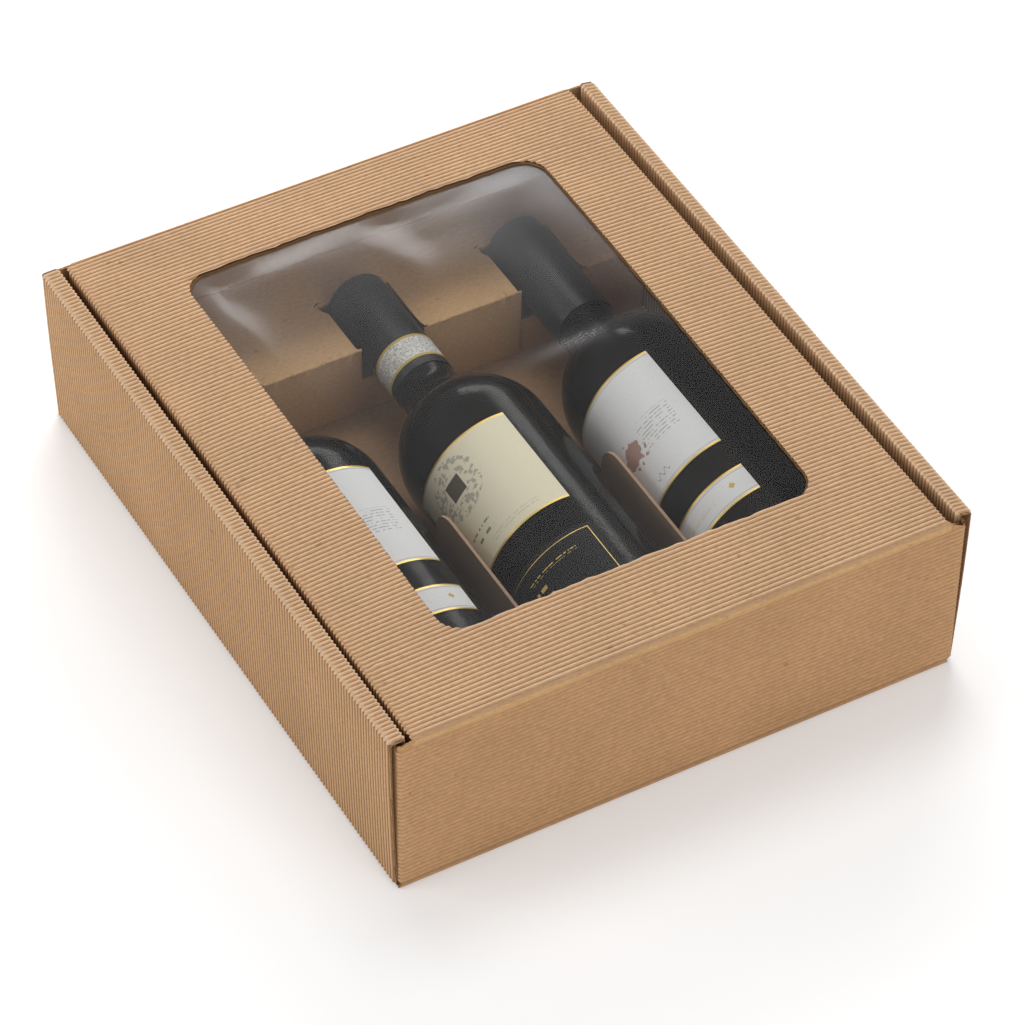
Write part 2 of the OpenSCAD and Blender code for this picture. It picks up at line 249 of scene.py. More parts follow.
fluted = flutedPaper("flutedPaper", "valley", "crest", 0.2, 1.0)
wallFluted = flutedPaper("wallFlutedPaper", "wallValley", "wallCrest", 0.3, 1.0)
endFluted = flutedPaper("endFlutedPaper", "endValley", "endCrest", 0.2, 1.0)
grooveShaded = flutedPaper("grooveShadedPaper", "wallValley", "wallCrest", 0.3, 1.0, True)
inside = smoothPaper("insidePaper", "inside")
cardFace = smoothPaper("insertCard", "card")
dividerFace = smoothPaper("dividerCard", "divider")
fluteEdge = rawEdge("fluteEdge", "raw")
linerEdge = rawEdge("linerEdge", "rawLiner")
lipPaintedShade = smoothPaper("lipPaintedShade", "lip")
boardFaces = (fluted, inside, fluteEdge, grooveShaded)       # outer face, inner face, cut edge, face in a groove with painted shade
sideFaces = (wallFluted, inside, rawEdge("wallEdge", "wallEdge"), grooveShaded, fluted)
linerFaces = (inside, inside, linerEdge)
lipFaces = (lipPaintedShade, inside, lipPaintedShade)
endFaces = (endFluted, inside, endFluted)
hingeFaces = (flutedPaper("hingePaper", "hinge", "hingeLowPaintedLight", 0.0, 1.0), inside, endFluted)
print("paper materials ready")


# folded sheets, built on a lattice of points with a present or missing cell between each four

board = {
    "liner": 0.5,      # smooth paper on the inside
    "wave": 0.26,      # paper of the flutes
    "flute": 0.9,      # height of the flutes
    "pitch": 2.45,     # flute to flute
    "samples": 6,      # points round one flute
    "crown": 1.35,     # above 1 the crests are narrow and the valleys broad
    "fold": 0.8,       # inside radius of the tray's folds
    "lidFold": 0.4,    # inside radius of the lid's folds
    "crisp": 0.06,     # inside radius of the sharp creases: rims and lid sides
}
boardT = board["liner"] + board["flute"]
foldR = board["fold"] + boardT
lidFoldR = board["lidFold"] + boardT


def fluteLine(length):
    count = math.floor(length / board["pitch"] - 0.2)
    first = (length - count * board["pitch"]) / 2
    steps = np.arange(count * board["samples"] + 1) / board["samples"]
    offsets = np.concatenate([[0], first + steps * board["pitch"], [length]])
    heights = np.concatenate([[0], np.sin(np.pi * (steps % 1)) ** board["crown"], [0]])
    return offsets, heights


def finishMesh(name, verts, faces, kinds, faceMaterials, ridge=None, sharp=60):
    mesh = bpy.data.meshes.new(name)
    mesh.from_pydata((np.asarray(verts) * mm).tolist(), [], np.asarray(faces).tolist())
    for material in faceMaterials:
        mesh.materials.append(material)
    mesh.polygons.foreach_set("material_index", np.asarray(kinds, np.int32))
    if ridge is not None:
        heights = mesh.attributes.new("ridge", "FLOAT", "POINT")
        heights.data.foreach_set("value", np.asarray(ridge, np.float32))
    shape = bmesh.new()
    shape.from_mesh(mesh)
    bmesh.ops.remove_doubles(shape, verts=shape.verts, dist=1e-7)
    bmesh.ops.recalc_face_normals(shape, faces=shape.faces)
    shape.to_mesh(mesh)
    shape.free()
    mesh.polygons.foreach_set("use_smooth", np.ones(len(mesh.polygons), bool))
    mesh.set_sharp_from_angle(angle=math.radians(sharp))
    return addObject(name, mesh)


def buildSheet(name, top, under, cells, faceMaterials, ridge=None, sharp=60, rowKind=None):
    rows, cols = top.shape[:2]
    cells = np.ones((rows - 1, cols - 1), bool) if cells is None else cells      # None: a whole sheet
    used = np.zeros((rows, cols), bool)
    for r in (0, 1):
        for c in (0, 1):
            used[r:rows - 1 + r, c:cols - 1 + c] |= cells
    count = int(used.sum())
    ids = np.full((rows, cols), -1)
    ids[used] = np.arange(count)
    r, c = np.nonzero(cells)
    face = np.stack([ids[r, c], ids[r + 1, c], ids[r + 1, c + 1], ids[r, c + 1]], 1)
    outerKind = np.zeros(len(face), int) if rowKind is None else np.asarray(rowKind)[r]
    ringed = np.pad(cells, 1)
    r, c = np.nonzero(ringed[:-1, 1:-1] != ringed[1:, 1:-1])     # cut edges along the columns' direction
    wallA = np.stack([ids[r, c], ids[r, c + 1], ids[r, c + 1] + count, ids[r, c] + count], 1)
    r, c = np.nonzero(ringed[1:-1, :-1] != ringed[1:-1, 1:])     # cut edges along the rows' direction
    wallB = np.stack([ids[r, c], ids[r + 1, c], ids[r + 1, c] + count, ids[r, c] + count], 1)
    faces = np.concatenate([face, face[:, ::-1] + count, wallA, wallB])
    kinds = np.concatenate([outerKind, np.repeat([1, 2], [len(face), len(wallA) + len(wallB)])])
    verts = np.concatenate([top[used], under[used]])
    heights = None if ridge is None else np.concatenate([ridge[used], np.full(count, 0.5)])
    return finishMesh(name, verts, faces, kinds, faceMaterials, heights, sharp)


def arc(centre, radius, start, end, count):
    angles = np.radians(np.linspace(start, end, count))
    normals = np.stack([np.cos(angles), np.sin(angles)], 1)
    return np.array(centre) + radius * normals, normals


def straight(start, end, normal, shares):
    shares = np.asarray(shares, float)[:, None]
    points = np.array(start) * (1 - shares) + np.array(end) * shares
    return points, np.tile(np.array(normal, float), (len(points), 1))


def joinPath(parts):
    points, normals, press, tags = [], [], [], []
    for tag, (partPoints, partNormals), low in parts:
        dip = np.sin(np.linspace(0, np.pi, len(partPoints)))      # folds are pressed most in their middle
        skip = 1 if points and np.allclose(points[-1], partPoints[0], atol=1e-6) else 0
        points.extend(partPoints[skip:])
        normals.extend(partNormals[skip:])
        press.extend((1 - (1 - low) * dip)[skip:])
        tags.extend([tag] * (len(partPoints) - skip))
    return np.array(points), np.array(normals), np.array(press), np.array(tags)


def liftOff(points, normals, lift):      # both coordinates of a path, raised from its inner face
    return [points[:, None, k] + normals[:, None, k] * lift for k in (0, 1)]


def sway(x, y):      # slow unevenness of hand-folded board, about a millimetre at most when scaled
    return (np.sin(0.021 * x + 0.4) * np.sin(0.017 * y + 1.1)
            + 0.5 * np.sin(0.047 * x - 0.031 * y + 2.0) + 0.25 * np.sin(0.09 * y + 0.06 * x))


def dress(piece, node, body):
    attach(piece, body)
    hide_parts(node)


def waveOf(heights):
    return board["liner"] + board["flute"] * heights


def layBoard(name, linerName, columns, heights, plain, place, keep, faces, ridge, kind=None):
    wave = waveOf(heights)
    flutes = buildSheet(name, place(columns, wave), place(columns, wave - board["wave"]),
                        keep(columns), faces, ridge, rowKind=kind)
    flat = np.zeros(len(plain))
    liner = buildSheet(linerName, place(plain, waveOf(flat)), place(plain, flat), keep(plain), linerFaces)
    for piece in (flutes, liner):
        dress(piece, "tray", "tray_body")


# tray: base, two rolled side walls and two end walls

sides = {
    "flare": 2.9,         # how far a side wall leans out at its rim
    "groove": 5,          # from the lid's side to the inner wall
    "rimDrop": {-1: 0.2, 1: 0.9},      # how far a rim falls to its outer crease, left and right
    "floorGap": 0.25,     # under the inner wall
    "foldPress": 0.5,     # flute height left on a pressed fold
    "crispPress": 0.45,   # the same on the rims' creases
    "bow": 0.5,           # outward swell of the outer walls
    "tabAt": 85, "tabLength": 40, "tabGap": 0.3,
    "baseRow": 60,        # a row of points between the base's middle and its slots
    "drawIn": {-1: (-1.0, 2.1), 1: (-1.2, -0.4)},      # outer and inner crease, drawn in towards the lid
    "nearIn": {-1: (1.2, 0.5), 1: (0.0, 0.6)},         # the same, further at the near end
    "nearFrom": 60, "nearEase": 1.5,                   # where that starts, and how it grows
    "setBack": {-1: 0.6, 1: 1.4},      # how far the rims stop short of the walls' foot at the near end
    "backLength": 25,      # over which they do so
    "creasePaintedHighlight": 0.55,    # painted highlight: lighter colour along the creases
    "wander": 0.10,        # sideways drift of the flutes
}
baseHalf = trayHigh[0] - sides["flare"]
innerX = lidHigh[0] + sides["groove"]
sideEnd = farY - foldR
sideLean = math.degrees(math.atan(sides["flare"] / (boxTop - 2 * foldR)))
floorZ = boardT + sides["floorGap"]


def inTabs(y, extra):
    reach = sides["tabLength"] / 2 + extra
    return np.abs(np.abs(y) - sides["tabAt"]) < reach


def tabColumns(extra):
    reach = sides["tabLength"] / 2
    cuts = [reach] if extra == 0 else [reach, reach + extra]
    marks = [s * (sides["tabAt"] + side * cut) for s in (-1, 1) for side in (-1, 1) for cut in cuts]
    return np.array(sorted([-sideEnd, sideEnd] + marks))


def sidePath(sign):
    lean = math.radians(sideLean)
    crisp = board["crisp"]
    lowCentre = (baseHalf - foldR, foldR)
    rimZ = boxTop - boardT
    innerFace = innerX + boardT
    innerCentre = np.array([innerFace + crisp, rimZ - crisp])
    rimCentre = np.array([trayHigh[0] - boardT - crisp, rimZ - crisp - sides["rimDrop"][sign]])
    out = np.array([math.cos(lean), -math.sin(lean)])
    slope = math.atan2(innerCentre[1] - rimCentre[1], rimCentre[0] - innerCentre[0])
    over = np.array([math.sin(slope), math.cos(slope)])       # square to the rim's face
    rimTurn = 90 - math.degrees(slope)
    up = np.linspace(0, 1, 9)
    wall = straight(np.array(lowCentre) + board["fold"] * out, rimCentre + crisp * out, out, up)
    wall[0][:] += np.outer(np.sin(np.pi * up) * sides["bow"], out)
    return joinPath([
        ("fold", arc(lowCentre, board["fold"], -90, -sideLean, 6), sides["foldPress"]),
        ("wall", wall, 1),
        ("fold", arc(rimCentre, crisp, -sideLean, rimTurn, 6), sides["crispPress"]),
        ("rim", straight(rimCentre + crisp * over, innerCentre + crisp * over, over, (0, 0.3, 0.7, 1)), 1),
        ("fold", arc(innerCentre, crisp, rimTurn, 180, 6), sides["crispPress"]),
        ("inner", straight((innerFace, innerCentre[1]), (innerFace, floorZ), (-1, 0), (0, 0.3, 0.7, 1)), 1),
        ("tab", straight((innerFace, floorZ), (innerFace, sides["tabGap"]), (-1, 0), (0, 1)), 1),
    ])


def sideSheets(sign, label):
    points, normals, press, tags = sidePath(sign)
    backStart = sides["backLength"] - sideEnd

    def place(columns, heights):
        x, z = liftOff(points, normals, np.outer(press, heights))
        x, y = sign * x, np.broadcast_to(columns, z.shape)
        drift = sides["wander"] * sway(3 * z + 40 * sign, y) * (np.abs(y) < sideEnd - 1)
        high = np.clip((z - foldR) / (boxTop - foldR), 0, 1)
        nearFrom = sides["nearFrom"]
        toNear = np.clip((nearFrom - y) / (nearFrom + sideEnd), 0, 1) ** sides["nearEase"]
        pulls = zip(sides["drawIn"][sign], sides["nearIn"][sign])
        outer, inner = (far + near * toNear for far, near in pulls)
        across = np.clip((trayHigh[0] - points[:, None, 0]) / (trayHigh[0] - innerX), 0, 1)
        x = x - sign * high * (outer + (inner - outer) * across)
        back = sides["setBack"][sign] * high * np.clip((backStart - y) / sides["backLength"], 0, 1)
        return np.stack([x, y + drift + back, z], 2)

    def keep(columns):
        middle = (columns[:-1] + columns[1:]) / 2
        return (tags[1:] != "tab")[:, None] | inTabs(middle, 0)[None, :]

    wallRow = np.nonzero(tags == "wall")[0]
    creased = (tags == "fold") & (np.arange(len(tags)) > wallRow[0])
    kind = np.select([np.isin(tags, ["inner", "tab"]), creased | (tags == "rim")], [3, 4], 0)
    # painted highlight along the creases above the wall
    tone = sides["creasePaintedHighlight"] * creased[:, None]
    offsets, heights = fluteLine(2 * sideEnd)
    plain = np.array(sorted(set(tabColumns(0)) | set(np.linspace(-sideEnd, sideEnd, 15)) | {backStart}))
    ridge = tone + np.outer(press, heights)
    layBoard("tray_side_" + label, "tray_side_liner_" + label, offsets - sideEnd, heights, plain,
             place, keep, sideFaces, ridge, kind[1:])


def baseSheets():
    slotHalf = boardT / 2 + sides["tabGap"]
    slotX = innerX + boardT / 2
    half = baseHalf - foldR
    rights = np.array([sides["baseRow"], slotX - slotHalf, slotX + slotHalf, half])
    rows = np.concatenate([-rights[::-1], rights])

    def place(columns, depth):
        x, y = np.meshgrid(rows, columns, indexing="ij")
        return np.stack([x, y, np.broadcast_to(boardT - depth, x.shape)], 2)

    def keep(columns):
        acrossSlot = np.abs(np.abs((rows[:-1] + rows[1:]) / 2) - slotX) < slotHalf
        return ~(acrossSlot[:, None] & inTabs((columns[:-1] + columns[1:]) / 2, sides["tabGap"])[None, :])

    offsets, heights = fluteLine(2 * sideEnd)
    ridge = np.broadcast_to(heights, (len(rows), len(offsets)))
    plain = tabColumns(sides["tabGap"])
    layBoard("tray_base", "tray_base_liner", offsets - sideEnd, heights, plain,
             place, keep, boardFaces, ridge)


ends = {
    "earGap": 0.15,       # play of the ears inside the side walls
    "earLength": 70,
    "earDrop": 3.5,       # free edges below the rim
    "band": 0.4,          # smooth pressed band under those edges
    "farDrop": 3.4,       # far wall's edge below the lid's face
    "waveShare": 0.66, "cornerShare": 1.05,      # height of the flutes on the wall and round its corners
    "cornerDrop": 0.8,    # where the near wall's corners meet the lid, below its face
    "cornerFall": {-1: 1.3, 1: 3.2},      # from there to the left and right corner
    "lean": {-1: 0.7, 1: 0.35},        # outward lean of the left and right corner at the top
    "meet": 0.3,          # overlap of the near wall's corners with the hinge fold
    "footReach": 2.2,     # the foot's fold runs on to the corners
    "over": {-1: 0.8, 1: -0.4},        # how far the lid's edges stand out, left and right
    "spread": {-1: 0.6, 1: 0.5},       # how much further they reach at the hinge
    "press": 0.3, "footPress": 0.1,    # how far the board is pressed under its edges and at the foot
    "bent": 9,            # beside a corner, where the flutes grow
    "wander": 0.08,       # drift of the flutes
    "tone": (0.12, 0.5),      # colour between painted valley shade and painted crest highlight: base and share of the flute
    "footTone": 0.3,          # and at the foot
}
endHalf = baseHalf - boardT - ends["earGap"]
hingeHalf = {side: lidHigh[0] + ends["over"][side] + ends["spread"][side] for side in (-1, 1)}
earTop = boxTop - ends["earDrop"]


def endSheets(sign, label, top, cornersOnly):
    # path across the wall: left ear, corner, wall, corner, right ear
    wallY = nearY + boardT
    half = endHalf - foldR
    corner = nearY + foldR
    earX = endHalf - boardT
    earEnd = nearY + ends["earLength"]
    lidReach = min(hingeHalf.values()) - ends["meet"]
    stops = sorted(set(np.round(np.linspace(-half, half, 17), 3)) | {-lidReach, lidReach})
    stops = (np.array(stops) + half) / (2 * half)
    points, normals, press, tags = joinPath([
        ("ear", straight((-earX, earEnd), (-earX, corner), (-1, 0), np.linspace(0, 1, 5)), 1),
        ("corner", arc((-half, corner), board["fold"], 180, 270, 6), 1),
        ("wall", straight((-half, wallY), (half, wallY), (0, -1), stops), 1),
        ("corner", arc((half, corner), board["fold"], 270, 360, 6), 1),
        ("ear", straight((earX, corner), (earX, earEnd), (1, 0), np.linspace(0, 1, 5)), 1),
    ])
    foldPoints, foldNormals = arc((corner, foldR), board["fold"], 270, 180, 6)    # the foot, in Y and Z
    isWall = (tags == "wall") | (np.abs(points[:, 0]) <= half + 1e-6)

    def place(zs, lift, footLift):
        rows, foot, cols = len(points), len(foldPoints) - 1, len(zs)
        out = np.zeros((rows, foot + cols, 3))
        px = points[:, None, 0]
        out[:, :foot, 0] = px + np.sign(px) * ends["footReach"] * (np.abs(px) > half - 1e-6)
        out[:, :foot, 1:] = (foldPoints + footLift * foldNormals)[None, :-1]
        out[:, foot:, 0], out[:, foot:, 1] = liftOff(points, normals, np.broadcast_to(lift, (rows, cols)))
        free = (zs > foldR + 1) & (zs < earTop - 3)
        out[:, foot:, 2] = zs + ends["wander"] * sway(out[:, foot:, 0] * 2, zs) * free
        if cornersOnly:
            fall = np.where(points[:, 0] < 0, ends["cornerFall"][-1], ends["cornerFall"][1])
            fall = fall * np.clip((np.abs(points[:, 0]) - lidReach) / (half - lidReach), 0, 1)
            out[:, -1, 2] = np.where(tags == "ear", earTop, top - fall)
        lean = np.where(out[:, :, 0] < 0, ends["lean"][-1], ends["lean"][1])
        out[:, :, 0] *= 1 + lean / endHalf * out[:, :, 2] / earTop
        out[:, :, 1] *= sign
        return out

    def keep(zs):
        foot = len(foldPoints) - 1
        wallRow = isWall[:-1] & isWall[1:]
        lidRow = np.abs((points[:-1, 0] + points[1:, 0]) / 2) < lidReach
        mid = (zs[:-1] + zs[1:]) / 2
        upper = np.where(wallRow[:, None], True, (mid > foldR + sides["tabGap"])[None, :])
        cornerRow = (tags[:-1] != "ear") & (tags[1:] != "ear") & ~lidRow
        upper &= (mid < earTop)[None, :] | (cornerRow if cornersOnly else wallRow & lidRow)[:, None]
        footCells = np.broadcast_to(wallRow[:, None], (len(wallRow), foot))
        return np.concatenate([footCells, upper], 1)

    smooth = earTop - ends["band"]
    offsets, heights = fluteLine(smooth - foldR)
    tail = [t for t in (earTop, top) if t > smooth]
    zs = np.concatenate([foldR + offsets, tail])
    heights = np.concatenate([heights, np.zeros(len(tail))])
    bent = np.clip((np.abs(points[:, 0]) - half + ends["bent"]) / ends["bent"], 0, 1)
    share = ends["waveShare"] + (ends["cornerShare"] - ends["waveShare"]) * bent
    wave = waveOf(np.outer(share, heights))
    wave[:, -len(tail):] = boardT - ends["press"]                # pressed flat under the edge
    wave[:, -len(tail) - 1] = boardT - ends["press"] - 0.05
    base, rise = ends["tone"]
    footTone = np.full((len(points), len(foldPoints) - 1), ends["footTone"])
    ridge = np.concatenate([footTone, base + rise * np.outer(share, heights)], 1)
    footLift = boardT - ends["footPress"]
    flutes = buildSheet("tray_" + label, place(zs, wave, footLift),
                        place(zs, wave - board["wave"], footLift - board["wave"]), keep(zs), endFaces, ridge)
    plain = np.array([foldR, foldR + sides["tabGap"], earTop, top])
    linerLift = board["liner"] + ends["footPress"]
    liner = buildSheet("tray_liner_" + label, place(plain, np.full(4, linerLift), linerLift),
                       place(plain, np.zeros(4), 0.0), keep(plain), linerFaces)
    for piece in (flutes, liner):
        dress(piece, "tray", "tray_body")


crease = {
    "radius": 1.2,        # outer roundness where the lid turns down into the near wall
    "lowOverlap": 1.2,    # hidden behind the wall's band
    "lidOverlap": 1.5,    # hidden under the lid's first flute
    "thick": 1.0,
    "flutes": ((0.234, 0.5), (0.62, 0.42)),     # flutes on it: share of the path, height
    "fluteWidth": 0.085,  # share of the path
    "valley": 0.5,        # thickness between them
    "thinEnd": (0.35, 0.1),       # thickness where it runs out under the lid's first flute
    "lidTone": 0.75,      # share of the path from where the paper has the lid's tone
    "toneRun": 0.3,       # share over which the tone changes
    "ripple": 0.05,       # unevenness
}


def creaseStrip():
    radius = crease["radius"]
    centre = (nearY + radius, boxTop - radius)
    inner = radius - crease["thick"]
    wallTop = boxTop - boardT - 0.1
    low = min(wallTop, earTop) - crease["lowOverlap"]
    lidEdge = centre[0] + crease["lidOverlap"]
    wallY, lidZ = centre[0] - inner, centre[1] + inner
    points, normals, _, _ = joinPath([
        ("wall", straight((wallY, low), (wallY, centre[1]), (-1, 0), np.linspace(0, 1, 15)), 1),
        ("fold", arc(centre, inner, 180, 90, 13), 1),
        ("lid", straight((centre[0], lidZ), (lidEdge, lidZ), (0, 1), (0, 0.5, 1)), 1),
    ])
    xs = np.linspace(-hingeHalf[-1], hingeHalf[1], 46)
    thick = np.full(len(points), crease["valley"])
    share = np.arange(len(points)) / len(points)
    ridge = np.clip((crease["lidTone"] - share) / crease["toneRun"], 0, 1)      # painted light on the wall side below, the lid's tone above
    for place, height in crease["flutes"]:
        thick += height * np.exp(-((share - place) / crease["fluteWidth"]) ** 2)
    thick[-2:] = crease["thinEnd"]
    ripple = crease["ripple"] * sway(xs[:, None] * 3, np.arange(len(points))[None, :] * 9)

    def raised(lift):
        y = points[None, :, 0] + normals[None, :, 0] * lift
        z = points[None, :, 1] + normals[None, :, 1] * lift
        return np.stack([np.broadcast_to(xs[:, None], y.shape), y, z], 2)

    top = raised(thick[None, :] + ripple * (np.arange(len(points)) < len(points) - 2)[None, :])
    under = raised(np.zeros((len(xs), len(points))))
    piece = buildSheet("hinge_crease", top, under, None, hingeFaces, np.broadcast_to(ridge, top.shape[:2]))
    (centre[1] - 0.4) * mm
    (centre[0] + 0.2) * mm
    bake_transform(piece)


for sign, label in ((-1, "left"), (1, "right")):
    sideSheets(sign, label)
baseSheets()
endSheets(1, "near_wall", boxTop - ends["cornerDrop"], True)
endSheets(-1, "far_wall", boxTop - ends["farDrop"], False)
creaseStrip()
print("tray folded")


# lid: window panel, side flaps and tuck flap

lid = {
    "windowLap": 12,      # film behind the window's edge
    "windowRound": 12,    # corner radius of the window
    "ragged": 0.20,       # roughness of the die-cut window edge
    "flapStart": 4, "flapEnd": 2, "flapHeight": 28, "flapSlant": 7, "flapFarSlant": 10,
    "tuckInset": 3, "tuckHeight": 36, "tuckSlant": 12, "tuckLean": 5,
    "foldPress": 0.55,
    "score": 0.72,        # flute height left on the score line beside a side fold
    "bulge": 4.5,         # the panel's rise, were it whole; about 2 at the window's edges
    "lift": 1.2,          # further rise of the far half, which rolls off at the tuck fold
    "notch": 0.45,        # waviness of the window's near and far edges
    "farEdge": 2,         # the window stops this much short of the far end of its die line
    "lip": {"near": 0.4, "far": 1.3, -1: 0.3, 1: 0.8},      # how far the liner stands into the window
    "liftFrom": -100, "liftTo": 100, "rollOff": 16,         # where the far half rises, and how it rolls off
    "wander": 0.09,       # drift of the flutes
    "notchReach": 2.5,    # how far the notches reach from the window's edges
    "overEase": 1.5,      # how the lid's edges spread towards the hinge
    "tuckPress": 0.15, "tuckTone": 0.7,       # pressed board and its tone on the tuck fold
    "rowCount": (5, 9, 41),      # rows of a flap, of the strip beside the window, of the window
}
lidHalf, lidNear, lidFar = lidHigh[0], lidLow[1], lidHigh[1]
panelZ = boxTop - boardT
windowX = filmHigh[0] - lid["windowLap"]
windowNear, windowFar = filmLow[1] + lid["windowLap"], filmHigh[1] - lid["windowLap"] - lid["farEdge"]
noLip = dict.fromkeys(lid["lip"], 0.0)


def windowHalf(y, lip, side):
    r = lid["windowRound"]
    depth = np.minimum(y - windowNear - lip["near"], windowFar - lip["far"] - y)
    bend = np.sqrt(np.clip(r * r - (r - np.clip(depth, 0, r)) ** 2, 0, None))
    rough = lid["ragged"] * (np.sin(y * 2.9) * np.sin(y * 0.83 + 1) + 0.6 * np.sin(y * 7.3 + 0.5))
    return windowX - lip[side] - r + bend + rough * (depth > 0.6)


def liftOf(y):
    ramp = np.clip((y - lid["liftFrom"]) / (lid["liftTo"] - lid["liftFrom"]), 0, 1)
    rollOff = 1 - np.exp(-np.clip(lidFar - y, 0, None) / lid["rollOff"])
    return lid["lift"] * rollOff * ramp * ramp * (3 - 2 * ramp)


def bulgeOf(x, y):
    return lid["bulge"] * np.clip(1 - (x / lidHalf) ** 2, 0, 1) * np.clip(1 - (y / lidFar) ** 2, 0, 1)


def lidSheet(ys, tuck, heights, tuckHeights, lip):
    # rows run across the lid from flap to flap, columns run from the hinge to the tuck flap's edge
    flap, strip, pane = lid["rowCount"]
    half = lidHalf - boardT - board["crisp"]
    flapX = lidHalf - boardT
    sideZ = panelZ - board["crisp"]
    foldZ = boxTop - lidFoldR
    low = boxTop - lid["flapHeight"]
    down = np.linspace(0, 1, flap)
    points, normals, press, tags = joinPath([
        ("flapL", straight((-flapX, low), (-flapX, sideZ), (-1, 0), down), 1),
        ("foldL", arc((-half, sideZ), board["crisp"], 180, 90, 6), lid["foldPress"]),
        ("stripL", straight((-half, panelZ), (-1, panelZ), (0, 1), np.linspace(0, 1, strip)), 1),
        ("pane", straight((-1, panelZ), (1, panelZ), (0, 1), np.linspace(0, 1, pane)), 1),
        ("stripR", straight((1, panelZ), (half, panelZ), (0, 1), np.linspace(0, 1, strip)), 1),
        ("foldR", arc((half, sideZ), board["crisp"], 90, 0, 6), lid["foldPress"]),
        ("flapR", straight((flapX, sideZ), (flapX, low), (1, 0), down), 1),
    ])
    first = flap - 1 + 5                       # row where the panel starts, at its left fold
    last = first + 2 * (strip - 1) + pane - 1
    press[[first + 1, last - 1]] = lid["score"]
    rows = len(points)
    x, z = (np.tile(points[:, k:k + 1], (1, len(ys))) for k in (0, 1))
    y = np.tile(ys, (rows, 1))
    left, right = windowHalf(ys, lip, -1), windowHalf(ys, lip, 1)
    stripShare = np.concatenate([[0, 0.045], np.linspace(0.1, 1, strip - 2)])
    for k in range(strip):
        x[first + k] = -half + (half - left) * stripShare[k]
        x[last - k] = half - (half - right) * stripShare[k]
    for k in range(1, pane - 1):
        x[first + strip - 1 + k] = -left + (left + right) * k / (pane - 1)
    toNear = np.clip((lidFar - ys) / (lidFar - lidNear), 0, 1) ** lid["overEase"]
    over = {side: ends["over"][side] + ends["spread"][side] * toNear for side in (-1, 1)}
    x += np.where(x < 0, -over[-1], over[1]) * np.clip((np.abs(x) - windowX) / (half - windowX), 0, 1)
    onPanel = np.zeros(rows, bool)
    onPanel[first:last + 1] = True
    lift = np.outer(press, heights)
    x += normals[:, None, 0] * lift
    z += normals[:, None, 1] * lift
    free = (ys > lidNear + 2) & (ys < lidFar - 4)
    z += liftOf(ys) + bulgeOf(x, ys) * onPanel[:, None]
    notches = np.sin(0.31 * x) * np.sin(0.12 * x + 1) + 0.5 * np.sin(0.73 * x)
    for mark in (windowNear, windowFar):
        free &= np.abs(ys - mark) > 1
        close = np.clip(1 - np.abs(ys - mark) / lid["notchReach"], 0, 1)
        y += lid["notch"] * close * notches * onPanel[:, None]
    y += lid["wander"] * sway(2 * x, ys) * (onPanel[:, None] & free)

    # flaps narrow towards their free edge
    depth = np.clip((sideZ - points[:, 1]) / (sideZ - low), 0, 1)[:, None]
    flapLow = lidNear + lid["flapStart"] + lid["flapSlant"] * depth
    flapHigh = lidFar - lid["flapEnd"] - lid["flapFarSlant"] * depth
    row = np.arange(rows)
    flapRow = (row < flap - 1) | (row > rows - flap)
    y = np.where(flapRow[:, None], np.clip(y, flapLow, flapHigh), y)

    # tuck flap, folded down at the far edge
    tuckFold, tuckNormal = arc((lidFar - lidFoldR, foldZ), board["lidFold"], 90, -lid["tuckLean"], 7)
    lean = math.radians(lid["tuckLean"])
    fall = np.array([-math.sin(lean), -math.cos(lean)])
    tuckPoints = np.concatenate([tuckFold[1:], tuckFold[-1] + np.outer(tuck[1:], fall)])
    tuckNormals = np.concatenate([tuckNormal[1:], np.tile(tuckNormal[-1], (len(tuck) - 1, 1))])
    foldLift = np.full(6, heights[-1])
    tuckLift = np.concatenate([foldLift, tuckHeights[1:]])
    tuckDepth = np.concatenate([np.zeros(6), tuck[1:] / tuck[-1]])
    reach = lidHalf - lid["tuckInset"] - lid["tuckSlant"] * tuckDepth
    tx = np.clip(np.broadcast_to(x[:, -1:], (rows, len(tuckLift))), -reach, reach)
    ty = np.broadcast_to(tuckPoints[:, 0] + tuckNormals[:, 0] * tuckLift, tx.shape)
    tz = np.broadcast_to(tuckPoints[:, 1] + tuckNormals[:, 1] * tuckLift, tx.shape)
    grid = np.concatenate([np.stack([x, y, z], 2), np.stack([tx, ty, tz], 2)], 1)

    middle = (ys[:-1] + ys[1:]) / 2
    panelCell = onPanel[:-1] & onPanel[1:]
    paneCell = np.zeros(rows - 1, bool)
    paneCell[first + strip - 1:first + strip - 1 + pane - 1] = True
    pierced = (middle > windowNear + lip["near"]) & (middle < windowFar - lip["far"])
    window = paneCell[:, None] & pierced[None, :]
    squeezed = (y[:, :-1] == y[:, 1:]) | ~flapRow[:, None]                 # to nothing, beyond a flap's end
    shut = squeezed[:-1] & squeezed[1:] & (flapRow[:-1] | flapRow[1:])[:, None]
    cells = ~(window | shut)
    tuckCells = np.broadcast_to(panelCell[:, None], (rows - 1, len(tuckLift)))
    return grid, np.concatenate([cells, tuckCells], 1), press


def snapColumns(ys, *marks):      # the window's ends fall on a column
    for mark in marks:
        ys[np.argmin(np.abs(ys - mark))] = mark
    return ys


